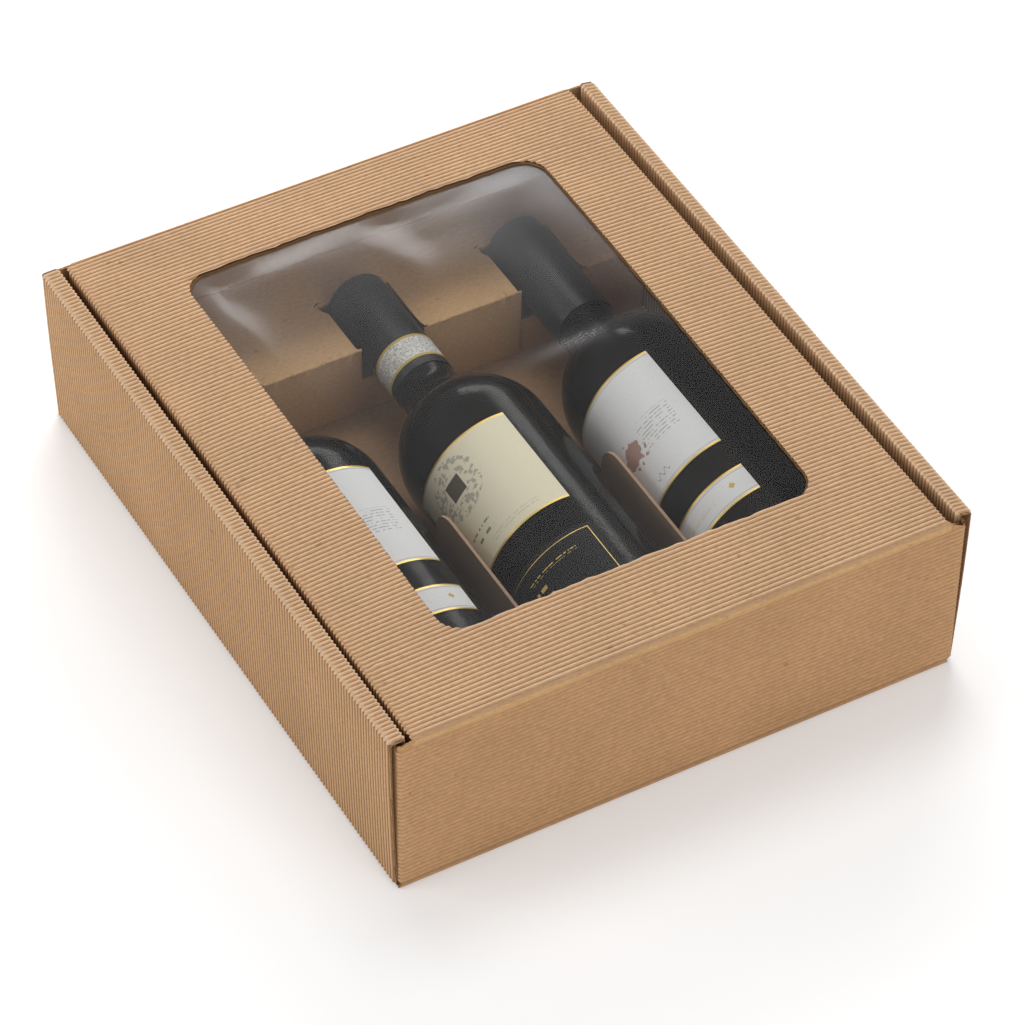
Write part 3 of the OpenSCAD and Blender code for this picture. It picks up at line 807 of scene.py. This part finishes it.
def lidSheets():
    panelEnd = lidFar - lidFoldR
    offsets, heights = fluteLine(panelEnd - lidNear)
    ys = snapColumns(lidNear + offsets, windowNear, windowFar)
    tuckL = lid["tuckHeight"] - lidFoldR
    tuck, tuckHeights = fluteLine(tuckL)
    wave, tuckWave = waveOf(heights), waveOf(tuckHeights)
    wave[-1] = boardT - lid["tuckPress"]
    top, cells, press = lidSheet(ys, tuck, wave, tuckWave, noLip)
    under = lidSheet(ys, tuck, wave - board["wave"], tuckWave - board["wave"], noLip)[0]
    ridge = np.concatenate([np.outer(press, heights), np.full((len(press), 6), lid["tuckTone"]),
                            np.broadcast_to(tuckHeights[1:], (len(press), len(tuck) - 1))], 1)
    flapCells = lid["rowCount"][0] - 1
    kind = np.zeros(len(press) - 1, int)
    kind[:flapCells] = kind[-flapCells:] = 3
    flutes = buildSheet("lid_flutes", top, under, cells, boardFaces, ridge, rowKind=kind)
    bend = np.sin(np.radians(np.linspace(0, 90, 10))) * lid["windowRound"]
    corners = lid["windowRound"] - np.sqrt(lid["windowRound"] ** 2 - bend ** 2)
    lipNear, lipFar = windowNear + lid["lip"]["near"], windowFar - lid["lip"]["far"]
    plain = np.unique(np.round(np.concatenate([
        np.linspace(lidNear, windowNear - 3, 8), np.linspace(windowFar + 3, panelEnd, 8), lipNear + corners,
        lipFar - corners, np.linspace(lipNear + 12, lipFar - 12, 60)]), 4))
    plain = snapColumns(plain, lipNear, lipFar)
    tuckPlain = np.array([0.0, tuckL / 2, tuckL])
    flat, tuckFlat = np.zeros(len(plain)), np.zeros(len(tuckPlain))
    top, cells, _ = lidSheet(plain, tuckPlain, waveOf(flat), waveOf(tuckFlat), lid["lip"])
    under = lidSheet(plain, tuckPlain, flat, tuckFlat, lid["lip"])[0]
    liner = buildSheet("lid_liner", top, under, cells, lipFaces)
    for piece in (flutes, liner):
        dress(piece, "lid", "lid_body")


lidSheets()
print("lid folded")


# clear film glued behind the window, with the slack waves of a thin sheet

film = {
    "thick": 0.2,
    "wave": 0.12,         # height of the slack waves
    "dome": 2.4,          # its rise inside the window
    "folds": (            # slack folds: x, y, turn of the fold's length from Y, length, width, slope
        (-80, 94, -11, 27, 7, 0.075), (-45, 121, -80, 16, 7, 0.045), (6, 110, -8, 18, 7, 0.075),
        (24, 94, -40, 26, 15, 0.035), (44, 9, -81, 26, 8, 0.08), (72, 121, -90, 12, 5, 0.05)),
    "rows": 105, "cols": 141,
    "ease": 30,           # from the glued margin to the loose middle
    "shine": 0.0075,      # mirror share of one face seen straight on
    "haze": 0.0025,       # faint milky scatter of the film
    "farPaintedGlare": 13,        # painted glare: how many times stronger the white scatter is at the far end
}


def mixShaders(tree, share, first, second):
    mix = tree.nodes.new("ShaderNodeMixShader")
    plug(share, mix.inputs["Fac"])
    tree.links.new(first.outputs[0], mix.inputs[1])
    tree.links.new(second.outputs[0], mix.inputs[2])
    return mix


def clearFilm():
    material, tree, scatter = startMaterial("clearFilm", 0.09, 0.5)
    plug((0.86, 0.87, 0.90), scatter.inputs["Base Color"])
    clear = tree.nodes.new("ShaderNodeBsdfTransparent")
    plug((0.97, 0.97, 0.965), clear.inputs["Color"])
    gloss = tree.nodes.new("ShaderNodeBsdfGlossy")
    gloss.inputs["Roughness"].default_value = 0.17
    plug((0.97, 0.97, 1.0), gloss.inputs["Color"])
    slant = tree.nodes.new("ShaderNodeLayerWeight")
    slant.inputs["Blend"].default_value = 0.5
    glance = calc(tree, "POWER", Signal(tree, slant.outputs["Facing"]), 5.0)      # the same from both sides
    mirror = mixShaders(tree, glance * 0.8 + film["shine"], clear, gloss)
    patch = grain(tree, 16, (1, 0.7, 1), detail=1).spread(0.35, 0.7, film["haze"] * 0.4, film["haze"] * 1.6)
    # painted glare: the white scatter grows towards the far end
    glareTowardsFar = placeOnY(tree).spread(0.0, windowFar * mm, 1.0, film["farPaintedGlare"])
    hazeAndGlare = mixShaders(tree, patch * glareTowardsFar, mirror, scatter)
    tree.links.new(hazeAndGlare.outputs[0], tree.nodes["Material Output"].inputs["Surface"])
    return material


def filmSheet():
    xs = np.linspace(filmLow[0], filmHigh[0], film["rows"])
    ys = np.linspace(filmLow[1], filmHigh[1], film["cols"])
    x, y = np.meshgrid(xs, ys, indexing="ij")
    rim = np.minimum(filmHigh[0] - np.abs(x), np.minimum(y - filmLow[1], filmHigh[1] - y))
    loose = np.clip((rim - lid["windowLap"]) / film["ease"], 0, 1) ** 1.5
    far = (y - filmLow[1]) / (filmHigh[1] - filmLow[1])
    slack = (np.sin(0.052 * x + 0.040 * y - 0.8) + 0.7 * np.sin(0.031 * x - 0.062 * y + 1.4)
             + 0.4 * np.sin(0.085 * x + 0.02 * y + 2.2))
    z = (filmLow[2] + filmHigh[2]) / 2 + film["wave"] * loose * slack * (0.35 + 0.65 * far)
    z += bulgeOf(x, y) * (1 - loose) + film["dome"] * loose + liftOf(y)
    held = np.clip(rim / lid["windowLap"] - 1, 0, 1)      # none where the film is glued
    for foldX, foldY, turn, length, width, slope in film["folds"]:
        c, s = math.cos(math.radians(turn)), math.sin(math.radians(turn))
        along, across = (y - foldY) * c + (foldX - x) * s, (x - foldX) * c + (y - foldY) * s
        spot = np.exp(-(along / length) ** 2 / 2 - (across / width) ** 2 / 2)
        z -= slope * (y - foldY) * spot * held
    top, under = (np.stack([x, y, z + side * film["thick"] / 2], 2) for side in (1, -1))
    piece = buildSheet("film", top, under, None, (clearFilm(),) * 3)
    dress(piece, "window_film", "lid_body")


filmSheet()
print("film laid")


# insert: neck rest with torn perforation along its front, and the divider

rest = {
    "card": 1.5,
    "round": 0.7,          # outer roundness of a fold
    "step": 1.5,           # spacing of the points along the front
    "tuft": 1.0,           # height of the torn tufts
    "notchHalf": 17.5,     # half the width of a neck notch
    "notchEnd": 136.3,     # where a notch stops
    "notchLow": 21.9,      # how deep it cuts the front
    "tear": 4.5,           # small tears at a notch's corners
    "tearRun": 7,          # length of a tear
    "tearNear": 1.9,       # how far a notch is narrower under its left tear
    "tearFront": 2.7,      # the tear at the front fold, on the right
    "wave": 0.25,          # unevenness of the top
    "inset": 0.08,         # inner roundness of a fold
}
bottleX = roundOf("bottle_left")[0][0]
neckX = (bottleX, 0, -bottleX)


def neckRest():
    rng = np.random.default_rng(7)
    half = restHigh[0]
    front, back, top, foot, card = restLow[1], restHigh[1], restHigh[2], restLow[2], rest["card"]
    xs = set(np.round(np.linspace(-half, half, int(2 * half / rest["step"])), 3))
    for centre in neckX:
        for side in (-1, 1):
            mark = centre + side * rest["notchHalf"]
            xs = {v for v in xs if abs(v - mark) > 1.2} | {mark, mark + side * (rest["tear"] + 2)}
    xs = np.array(sorted(xs))

    def outline(inset, radius):
        y0, y1, z1 = front + inset, back - inset, top - inset
        bendZ = z1 - radius
        return joinPath([
            ("front", straight((y0, foot), (y0, bendZ), (-1, 0), (0, 0.25, 0.49, 0.53, 0.8, 1)), 1),
            ("bend", arc((y0 + radius, bendZ), radius, 180, 90, 6), 1),
            ("top", straight((y0 + radius, z1), (y1 - radius, z1), (0, 1), np.linspace(0, 1, 24)), 1),
            ("bend2", arc((y1 - radius, bendZ), radius, 90, 0, 6), 1),
            ("back", straight((y1, bendZ), (y1, foot), (1, 0), (0, 0.5, 1)), 1),
        ])

    outer, normals, _, tags = outline(0, rest["round"])
    inner = outline(card, rest["inset"])[0]
    # rows where a notch starts and ends lie exactly on its edges
    lowRow = np.argmin(np.abs(outer[:6, 1] - rest["notchLow"]))
    outer[lowRow, 1] = inner[lowRow, 1] = rest["notchLow"]
    isTop = np.nonzero(tags == "top")[0]
    endRow = isTop[np.argmin(np.abs(outer[isTop, 0] - rest["notchEnd"]))]
    outer[endRow, 0] = inner[endRow, 0] = rest["notchEnd"]

    def place(path, torn):
        x = np.tile(xs[:, None], (1, len(path)))
        bend = torn[:, None] * (tags == "bend")
        y, z = (path[:, k] + bend * normals[:, k] for k in (0, 1))
        step = np.arange(len(path))
        pull = np.clip(1 - (rest["notchEnd"] - path[:, 0]) / rest["tearRun"], 0, 1)
        pull = pull * (path[:, 0] <= rest["notchEnd"] + 1e-6)
        for centre in neckX:                                     # small tears: far left and front right
            leftRow = np.argmin(np.abs(xs - (centre - rest["notchHalf"])))
            rightRow = np.argmin(np.abs(xs - (centre + rest["notchHalf"])))
            x[leftRow] -= rest["tear"] * pull * (step > lowRow + 3)
            x[leftRow] += rest["tearNear"] * (step <= lowRow + 6)
            x[rightRow] += rest["tearFront"] * np.exp(-((step - 8) / 2.0) ** 2)
        z += rest["wave"] * sway(x, y) * ((tags == "top") & (path[:, 0] < back - 4))[None, :]
        return np.stack([x, y, z], 2)

    tufts = rest["tuft"] * (rng.random(len(xs)) ** 2 - 0.25)
    mids = (xs[:-1] + xs[1:]) / 2
    inNotch = np.min([np.abs(mids - c) for c in neckX], axis=0) < rest["notchHalf"]
    cut = np.zeros(len(outer) - 1, bool)
    cut[lowRow:endRow] = True
    cells = ~(inNotch[:, None] & cut[None, :])
    piece = buildSheet("neck_rest_card", place(outer, tufts), place(inner, tufts * 0.2), cells,
                       (cardFace, cardFace, linerEdge), sharp=40)
    dress(piece, "neck_rest", "tray_body")


dividerShape = {"card": 1.5, "fold": 0.8, "round": 14}


def dividerStrip():
    card, fold, r = dividerShape["card"], dividerShape["fold"], dividerShape["round"]
    outerR = fold + card
    half, back, end = dividerHigh[0], dividerLow[1], dividerHigh[1]
    low, top = dividerLow[2], dividerHigh[2]
    corner = back + outerR
    inner = half - card
    tip = r / (end - corner)                  # share of a wing that its round end takes
    rounds = 1 - tip * (1 - np.sin(np.radians(np.linspace(0, 90, 9))))
    along = np.unique(np.concatenate([np.linspace(0, 1 - tip, 9), rounds]))
    bendX, backY = half - outerR, back + card
    points, normals, _, _ = joinPath([
        ("wing", straight((-inner, end), (-inner, corner), (-1, 0), 1 - along[::-1]), 1),
        ("bend", arc((-bendX, corner), fold, 180, 270, 6), 1),
        ("back", straight((-bendX, backY), (bendX, backY), (0, -1), np.linspace(0, 1, 6)), 1),
        ("bend", arc((bendX, corner), fold, 270, 360, 6), 1),
        ("wing", straight((inner, corner), (inner, end), (1, 0), along), 1),
    ])
    over = np.clip(points[:, 1] - (end - r), 0, r)
    crown = top - r + np.sqrt(np.clip(r * r - over ** 2, 0, None))
    z = low + np.outer(crown - low, np.linspace(0, 1, 9))

    def place(lift):
        return np.stack([*liftOff(points, normals, np.full(z.shape, lift)), z], 2)

    piece = buildSheet("divider_strip", place(card), place(0.0), None, (dividerFace,) * 3)
    dress(piece, "divider", "tray_body")


neckRest()
dividerStrip()
print("insert folded")


# bottles with capsules and labels

bottle = {
    "bodyLength": 180, "shoulder": 38, "fillet": 24, "neckR": 14.5, "foot": 4, "punt": 18, "segments": 128,
    "wrapGap": 0.1, "foil": 0.5, "paper": 0.15, "capSegments": 96,
    "crownR": 1.6, "ring": 0.22, "ringAt": 14, "ringPitch": 3.2,      # a capsule's top edge and ring
    "glass": (0.006, 0.006, 0.0055), "glassBrown": (0.013, 0.0105, 0.009),
    "foilTone": (0.021, 0.021, 0.023),
}


def turned(name, loop, node, segments, faceMaterial, sharp=35):
    centre = roundOf(node)[0]
    angles = np.linspace(0, 2 * np.pi, segments, endpoint=False)
    loop = np.array(loop, float)                                 # distance along Y, radius
    verts = np.stack([
        centre[0] + np.outer(loop[:, 1], np.sin(angles)),
        np.repeat(loop[:, :1], segments, 1),
        centre[1] + np.outer(loop[:, 1], np.cos(angles))], 2).reshape(-1, 3)
    rows = np.arange(len(loop) - 1)[:, None] * segments
    cols = np.arange(segments)[None, :]
    nexts = (cols + 1) % segments
    faces = np.stack([rows + cols, rows + nexts, rows + nexts + segments, rows + cols + segments], 2)
    faces = faces.reshape(-1, 4)
    if np.allclose(loop[0], loop[-1]):                           # closed section: last ring is the first
        faces = faces % ((len(loop) - 1) * segments)
        verts = verts[:-segments]
    return finishMesh(name, verts, faces, np.zeros(len(faces)), (faceMaterial,), sharp=sharp)


def bottleLoop(node):
    _, radius, foot, mouth = roundOf(node)
    b = bottle
    shoulderX, filletX = radius - b["shoulder"], b["neckR"] + b["fillet"]
    rise = math.sqrt((b["shoulder"] + b["fillet"]) ** 2 - (filletX - shoulderX) ** 2)
    meet = math.degrees(math.atan2(rise, filletX - shoulderX))
    heel, _ = arc((radius - b["foot"], foot + b["foot"]), b["foot"], -90, 0, 10)
    shoulder, _ = arc((shoulderX, foot + b["bodyLength"]), b["shoulder"], 0, meet, 22)
    hollow, _ = arc((filletX, foot + b["bodyLength"] + rise), b["fillet"], 180 + meet, 180, 18)
    rim = radius - 3 * b["foot"]
    outline = [(0, foot + b["punt"]), (rim * 0.5, foot + b["punt"] * 0.5), (rim, foot)]
    outline += [*heel, *((radius, foot + t) for t in np.linspace(30, b["bodyLength"] - 30, 4))]
    outline += [*shoulder, *hollow[1:], (b["neckR"], mouth), (0, mouth)]
    return [(y, r) for r, y in outline]


def darkGlass():
    material, tree, shader = startMaterial("darkGlass", 0.16, 0.05)
    tint = grain(tree, 9, detail=1).spread(0.3, 0.7)
    plug(mixColour(tree, tint, bottle["glass"], bottle["glassBrown"]), shader.inputs["Base Color"])
    shader.inputs["IOR"].default_value = 1.5
    return material


def blackFoil():
    material, tree, shader = startMaterial("blackFoil", 0.42, 0.25)
    tone = grain(tree, 500, detail=3).spread(0.3, 0.7, 0.8, 1.25)
    plug(mixColour(tree, 1.0, bottle["foilTone"], tone, "MULTIPLY"), shader.inputs["Base Color"])
    addBump(tree, shader, grain(tree, 70, (1, 0.3, 1), detail=2), 0.15, 0.0004)
    return material


def capsuleLoop(node):
    _, outer, foot, top = roundOf(node)
    inner = outer - bottle["foil"]
    r, ring, at, pitch = (bottle[key] for key in ("crownR", "ring", "ringAt", "ringPitch"))
    crown, _ = arc((outer - r, top - r), r, 0, 90, 8)
    lip = [(outer + ring * math.sin(t), top - at + t * pitch) for t in np.linspace(0, math.pi, 7)]
    dish, under = top - 0.15, top - bottle["foil"]
    outline = [(inner, foot), (outer - 0.1, foot), (outer, foot + 0.3), *lip, *crown]
    outline += [(4, dish), (0, dish), (0, under), (inner, under), (inner, foot)]
    return [(y, r) for r, y in outline]


labels = {
    "gold": (0.60, 0.43, 0.13),
    "white": (0.75, 0.75, 0.755),
    "cream": (0.73, 0.675, 0.515),
    "black": (0.012, 0.012, 0.012),
    "shield": (0.03, 0.022, 0.015),
    "ink": (0.20, 0.19, 0.18),
    "russet": (0.33, 0.15, 0.10),
    "band": (0.82, 0.81, 0.77), "bandSpeck": (0.42, 0.41, 0.39),
    "rough": 0.62, "goldRough": 0.36, "goldMetal": 0.6, "gloss": 0.08,
    "edge": 1.1,                          # width of the gold edges
    "fineFrom": 1.8, "fineTo": 2.1,       # thin ink line beside them
    "frameInset": 2.5, "frameLine": 0.33,
    "bandEdge": 1.5,
    "wrap": 100, "backWrap": 75,          # degrees round the bottle
}
turns = {"left": 12, "middle": 45, "right": 58}       # degrees from the top towards the left wall


def uvMillimetres(tree, width, length):
    coords = tree.nodes.new("ShaderNodeUVMap")
    coords.uv_map = "UVMap"
    split = tree.nodes.new("ShaderNodeSeparateXYZ")
    tree.links.new(coords.outputs["UV"], split.inputs["Vector"])
    x, y = (Signal(tree, split.outputs[axis]) for axis in "XY")
    return (x - 0.5) * width, (y - 0.5) * length


def printedLines(across, along, block, pitch, thick, seed, gap=0.47):
    # broken dashes that stand for lines of small print: left, right, low, high in millimetres
    left, right, low, high = block
    tree = along.tree
    lines = calc(tree, "DIVIDE", along, pitch)
    number = calc(tree, "FLOOR", lines)
    place = tree.nodes.new("ShaderNodeCombineXYZ")
    plug(across * (1.1 / pitch), place.inputs["X"])
    plug(number * 5.3, place.inputs["Y"])
    place.inputs["Z"].default_value = seed
    noise = tree.nodes.new("ShaderNodeTexNoise")
    noise.inputs["Scale"].default_value = 1.0
    noise.inputs["Detail"].default_value = 1.0
    tree.links.new(place.outputs["Vector"], noise.inputs["Vector"])
    words = Signal(tree, noise.outputs["Fac"]) > gap
    return words * (lines - number < thick) * across.within(left, right) * along.within(low, high)


def awayFrom(across, along, x, y, wide=1.0):
    dx, dy = (across - x) * wide, along - y
    return calc(across.tree, "SQRT", dx * dx + dy * dy)


def printWhite(tree, colour, across, along):      # small print, a russet blot and a plain flourish
    dashes = printedLines(across, along, (5, 25, -12, 4), 1.9, 0.3, 1.0)
    colour = mixColour(tree, dashes * 0.6, colour, labels["ink"])
    ragged = grain(tree, 330, detail=3).spread(0.3, 0.7, -2.5, 4.0)
    blot = awayFrom(across, along, -4, -6, 0.9) + ragged < 7.2
    colour = mixColour(tree, blot * 0.8, colour, labels["russet"])
    wave = calc(tree, "SINE", across * 1.7) * 1.3
    stroke = (abs(along + 26 - wave) < 0.3) * across.within(-2, 7)
    return mixColour(tree, stroke * 0.6, colour, labels["black"])


def printCream(tree, colour, across, along):      # dark field in grey scrollwork over a line of print
    scrolls = grain(tree, 420, detail=2) > 0.52
    ring = awayFrom(across, along, -7, 12).within(7, 15.5) * scrolls
    colour = mixColour(tree, ring * 0.55, colour, labels["ink"])
    shield = across.within(-12, -2) * along.within(7, 17)
    colour = mixColour(tree, shield * 0.9, colour, labels["shield"])
    title = printedLines(across * 2.2, along, (-60, -6, -19, -13), 7.0, 0.5, 4.0, 0.5)
    colour = mixColour(tree, title * 0.7, colour, labels["black"])
    small = printedLines(across, along, (-8, 20, -26, -22.5), 1.8, 0.4, 6.0)
    return mixColour(tree, small * 0.25, colour, labels["ink"])


def printStrip(tree, colour, across, along):      # one small lozenge beside a faint line
    lozenge = abs(across - 23) + abs(along - 0.6) < 1.8
    colour = mixColour(tree, lozenge, colour, labels["gold"])
    faint = printedLines(across, along, (-20, 12, -1.6, 0.2), 1.8, 0.5, 3.0)
    return mixColour(tree, faint * 0.45, colour, labels["gold"])


def printBlack(tree, colour, across, along):      # gold lines of print inside the frame
    first = printedLines(across, along, (-8, 20, 13.2, 15.0), 1.8, 0.45, 2.0)
    second = printedLines(across * 1.4, along, (-24, 2, 2, 9), 7.0, 0.5, 8.0, 0.52)
    return mixColour(tree, calc(tree, "MAXIMUM", first, second), colour, labels["gold"])


def noPrint(tree, colour, across, along):
    return colour


def paperLabel(name, ground, edging, printing, width, length):
    material, tree, shader = startMaterial(name, labels["rough"], labels["gloss"])
    across, along = uvMillimetres(tree, width, length)
    fromEnd, fromSide = length / 2 - abs(along), width / 2 - abs(across)
    grainy = grain(tree, 1500, detail=3).spread(0.3, 0.7, 0.95, 1.04)
    colour = printing(tree, mixColour(tree, 1.0, labels[ground], grainy, "MULTIPLY"), across, along)
    gold = fromEnd < labels["edge"]
    if edging == "double":
        line = fromEnd.within(labels["fineFrom"], labels["fineTo"])
        colour = mixColour(tree, line * 0.75, colour, labels["ink"])
    if edging == "frame":
        inset = labels["frameInset"]
        gold = calc(tree, "MINIMUM", fromEnd, fromSide).within(inset, inset + labels["frameLine"])
    plug(mixColour(tree, gold, colour, labels["gold"]), shader.inputs["Base Color"])
    plug(gold.spread(0, 1, labels["rough"], labels["goldRough"]), shader.inputs["Roughness"])
    plug(gold.spread(0, 1, 0.0, labels["goldMetal"]), shader.inputs["Metallic"])
    return material


def wrapLabel(name, node, side, look, turn=None, wrap=labels["wrap"]):
    _, _, start, end = roundOf(node)
    centre, radius, _, _ = roundOf("bottle_" + side)
    radius += bottle["wrapGap"]
    turn = turns[side] if turn is None else turn
    angles = np.radians(np.linspace(-wrap / 2, wrap / 2, 61) - turn)
    ys = np.linspace(start, end, 13)

    def place(r):
        x = centre[0] + r * np.sin(angles)[:, None] + np.zeros(len(ys))
        z = centre[1] + r * np.cos(angles)[:, None] + np.zeros(len(ys))
        return np.stack([x, np.broadcast_to(ys, x.shape), z], 2)

    width, length = float(radius * math.radians(wrap)), float(end - start)
    material = paperLabel(*look, width, length)
    piece = buildSheet(name, place(radius + bottle["paper"]), place(radius), None, (material,) * 3)
    layUv(piece, centre, turn, wrap, start, length)
    dress(piece, node, "tray_body")


def layUv(piece, centre, turn, wrap, start, length):
    mesh = piece.data
    layer = mesh.uv_layers.new(name="UVMap")
    co = np.zeros(len(mesh.vertices) * 3)
    mesh.vertices.foreach_get("co", co)
    co = co.reshape(-1, 3) / mm
    index = np.zeros(len(mesh.loops), np.int32)
    mesh.loops.foreach_get("vertex_index", index)
    angle = np.degrees(np.arctan2(co[:, 0] - centre[0], co[:, 2] - centre[1])) + turn
    angle = (angle + 180) % 360 - 180
    uv = np.stack([angle / wrap + 0.5, (co[:, 1] - start) / length], 1)
    layer.data.foreach_set("uv", uv[index].astype(np.float32).ravel())


def bandPaper(start, end):
    material, tree, shader = startMaterial("bandPaper", 0.55, labels["gloss"])
    middle, half = float(start + end) / 2 * mm, float(end - start) / 2 * mm
    gold = half - abs(placeOnY(tree) - middle) < labels["bandEdge"] * mm
    specks = grain(tree, 850, detail=3, rough=0.7).spread(0.42, 0.62)
    colour = mixColour(tree, specks, labels["band"], labels["bandSpeck"])
    plug(mixColour(tree, gold, colour, labels["gold"]), shader.inputs["Base Color"])
    return material


def neckBand():
    _, outer, foot, top = roundOf("neck_band")
    inner = outer - bottle["paper"]
    loop = [(foot, inner), (foot, outer), (top, outer), (top, inner), (foot, inner)]
    paper = bandPaper(foot, top)
    band = turned("neck_band_paper", loop, "neck_band", bottle["capSegments"], paper, sharp=50)
    dress(band, "neck_band", "tray_body")


def bottles():
    glass, foil = darkGlass(), blackFoil()
    for side in ("left", "middle", "right"):
        node, cap = "bottle_" + side, "capsule_" + side
        body = turned(node + "_glass", bottleLoop(node), node, bottle["segments"], glass)
        dress(body, node, "tray_body")
        cover = turned(cap + "_foil", capsuleLoop(cap), cap, bottle["capSegments"], foil)
        dress(cover, cap, "tray_body")
    for side in ("left", "right"):
        wrapLabel("main_label_" + side, "label_" + side, side,
                  ("whiteLabel", "white", "double", printWhite))
        wrapLabel("strip_label_" + side, "strip_" + side, side,
                  ("whiteLabel", "white", "double", printStrip))
    wrapLabel("main_label_middle", "label_middle", "middle",
              ("creamLabel", "cream", "single", printCream))
    wrapLabel("lower_label_middle", "lower_label", "middle",
              ("blackLabel", "black", "frame", printBlack))
    wrapLabel("back_label_middle", "back_label", "middle",
              ("backLabel", "white", "single", noPrint), turns["middle"] - 180, labels["backWrap"])
    neckBand()


bottles()
print("bottles dressed")


# floor, light and camera

studio = {
    "floorTone": 0.82,      # colour of the floor
    "floorLift": 0.30,      # what the camera sees added, so that the open floor is white
    "floorReach": 4.0,      # metres
    "sky": 0.38,            # soft light from all round
    "aim": (0, 0, 0.05),    # where the lamps look
}
lamps = {      # place and size in metres, power in watts
    "back_lamp": ((0.83, 1.44, 0.97), (1.28, 0.52), 19),      # low softbox behind, mirrored in the film
    "top_lamp": ((0.20, 0.62, 1.85), (1.0, 0.7), 10),         # high behind, out of the film's mirror
    "left_lamp": ((-1.65, 0.5, 0.75), (1.2, 1.0), 11),
    "front_lamp": ((0.3, -1.9, 0.9), (1.6, 1.0), 10),
}


def cameraShare(tree):
    path = tree.nodes.new("ShaderNodeLightPath")
    rays = [Signal(tree, path.outputs[f"Is {kind} Ray"]) for kind in ("Camera", "Glossy", "Transmission")]
    return calc(tree, "MAXIMUM", calc(tree, "MAXIMUM", rays[0], rays[1]), rays[2])


def makeFloor():
    material, tree, shader = startMaterial("paleFloor", 0.9, 0.1)
    plug((studio["floorTone"],) * 3, shader.inputs["Base Color"])
    plug((1, 1, 1), shader.inputs["Emission Color"])
    plug(cameraShare(tree) * studio["floorLift"], shader.inputs["Emission Strength"])
    mesh = bpy.data.meshes.new("floor")
    r = studio["floorReach"]
    mesh.from_pydata([(-r, -r, 0), (r, -r, 0), (r, r, 0), (-r, r, 0)], [], [(0, 1, 2, 3)])
    mesh.materials.append(material)
    floor = addObject("floor", mesh)


def makeWorld():
    world = bpy.data.worlds.new("studioWorld")
    bpy.context.scene.world = world
    world.use_nodes = True
    tree = world.node_tree
    sky = tree.nodes["Background"]
    plug((1, 1, 1), sky.inputs["Color"])
    level = studio["sky"]
    plug(cameraShare(tree) * (1 - level) + level, sky.inputs["Strength"])      # seen as white


def makeLamp(name, place, size, power):
    lamp = bpy.data.lights.new(name, "AREA")
    lamp.shape = "RECTANGLE"
    lamp.size, lamp.size_y = size
    lamp.energy = power
    holder = addObject(name, lamp)
    holder.location = place
    holder.rotation_euler = (Vector(studio["aim"]) - Vector(place)).to_track_quat("-Z", "Y").to_euler()


view = {
    "azimuth": -30.168, "elevation": 44.856, "roll": 1.173,     # degrees
    "distance": 2231.0, "target": (-9.143, -32.223, 46.40),     # millimetres
    "focal": 4950.0, "frameWidth": 1025, "sensor": 36.0,        # pixels, pixels, millimetres
}


def makeCamera():
    a, e, roll = (math.radians(view[k]) for k in ("azimuth", "elevation", "roll"))
    back = Vector((math.sin(a) * math.cos(e), -math.cos(a) * math.cos(e), math.sin(e)))
    right = (-back).cross(Vector((0, 0, 1))).normalized()
    up = right.cross(-back)
    turnedRight = right * math.cos(roll) + up * math.sin(roll)
    turnedUp = -right * math.sin(roll) + up * math.cos(roll)
    data = bpy.data.cameras.new("camera")
    data.sensor_width = view["sensor"]
    data.lens = view["focal"] / view["frameWidth"] * view["sensor"]
    data.clip_start, data.clip_end = 0.05, 50
    camera = addObject("camera", data)
    place = (Vector(view["target"]) + back * view["distance"]) * mm
    turn = Matrix((turnedRight, turnedUp, back)).transposed().to_4x4()
    camera.matrix_world = Matrix.Translation(place) @ turn
    bpy.context.scene.camera = camera


makeFloor()
makeWorld()
for lampName, (place, size, power) in lamps.items():
    makeLamp(lampName, place, size, power)
makeCamera()
bpy.context.scene.view_settings.view_transform = "Standard"
print("studio set")
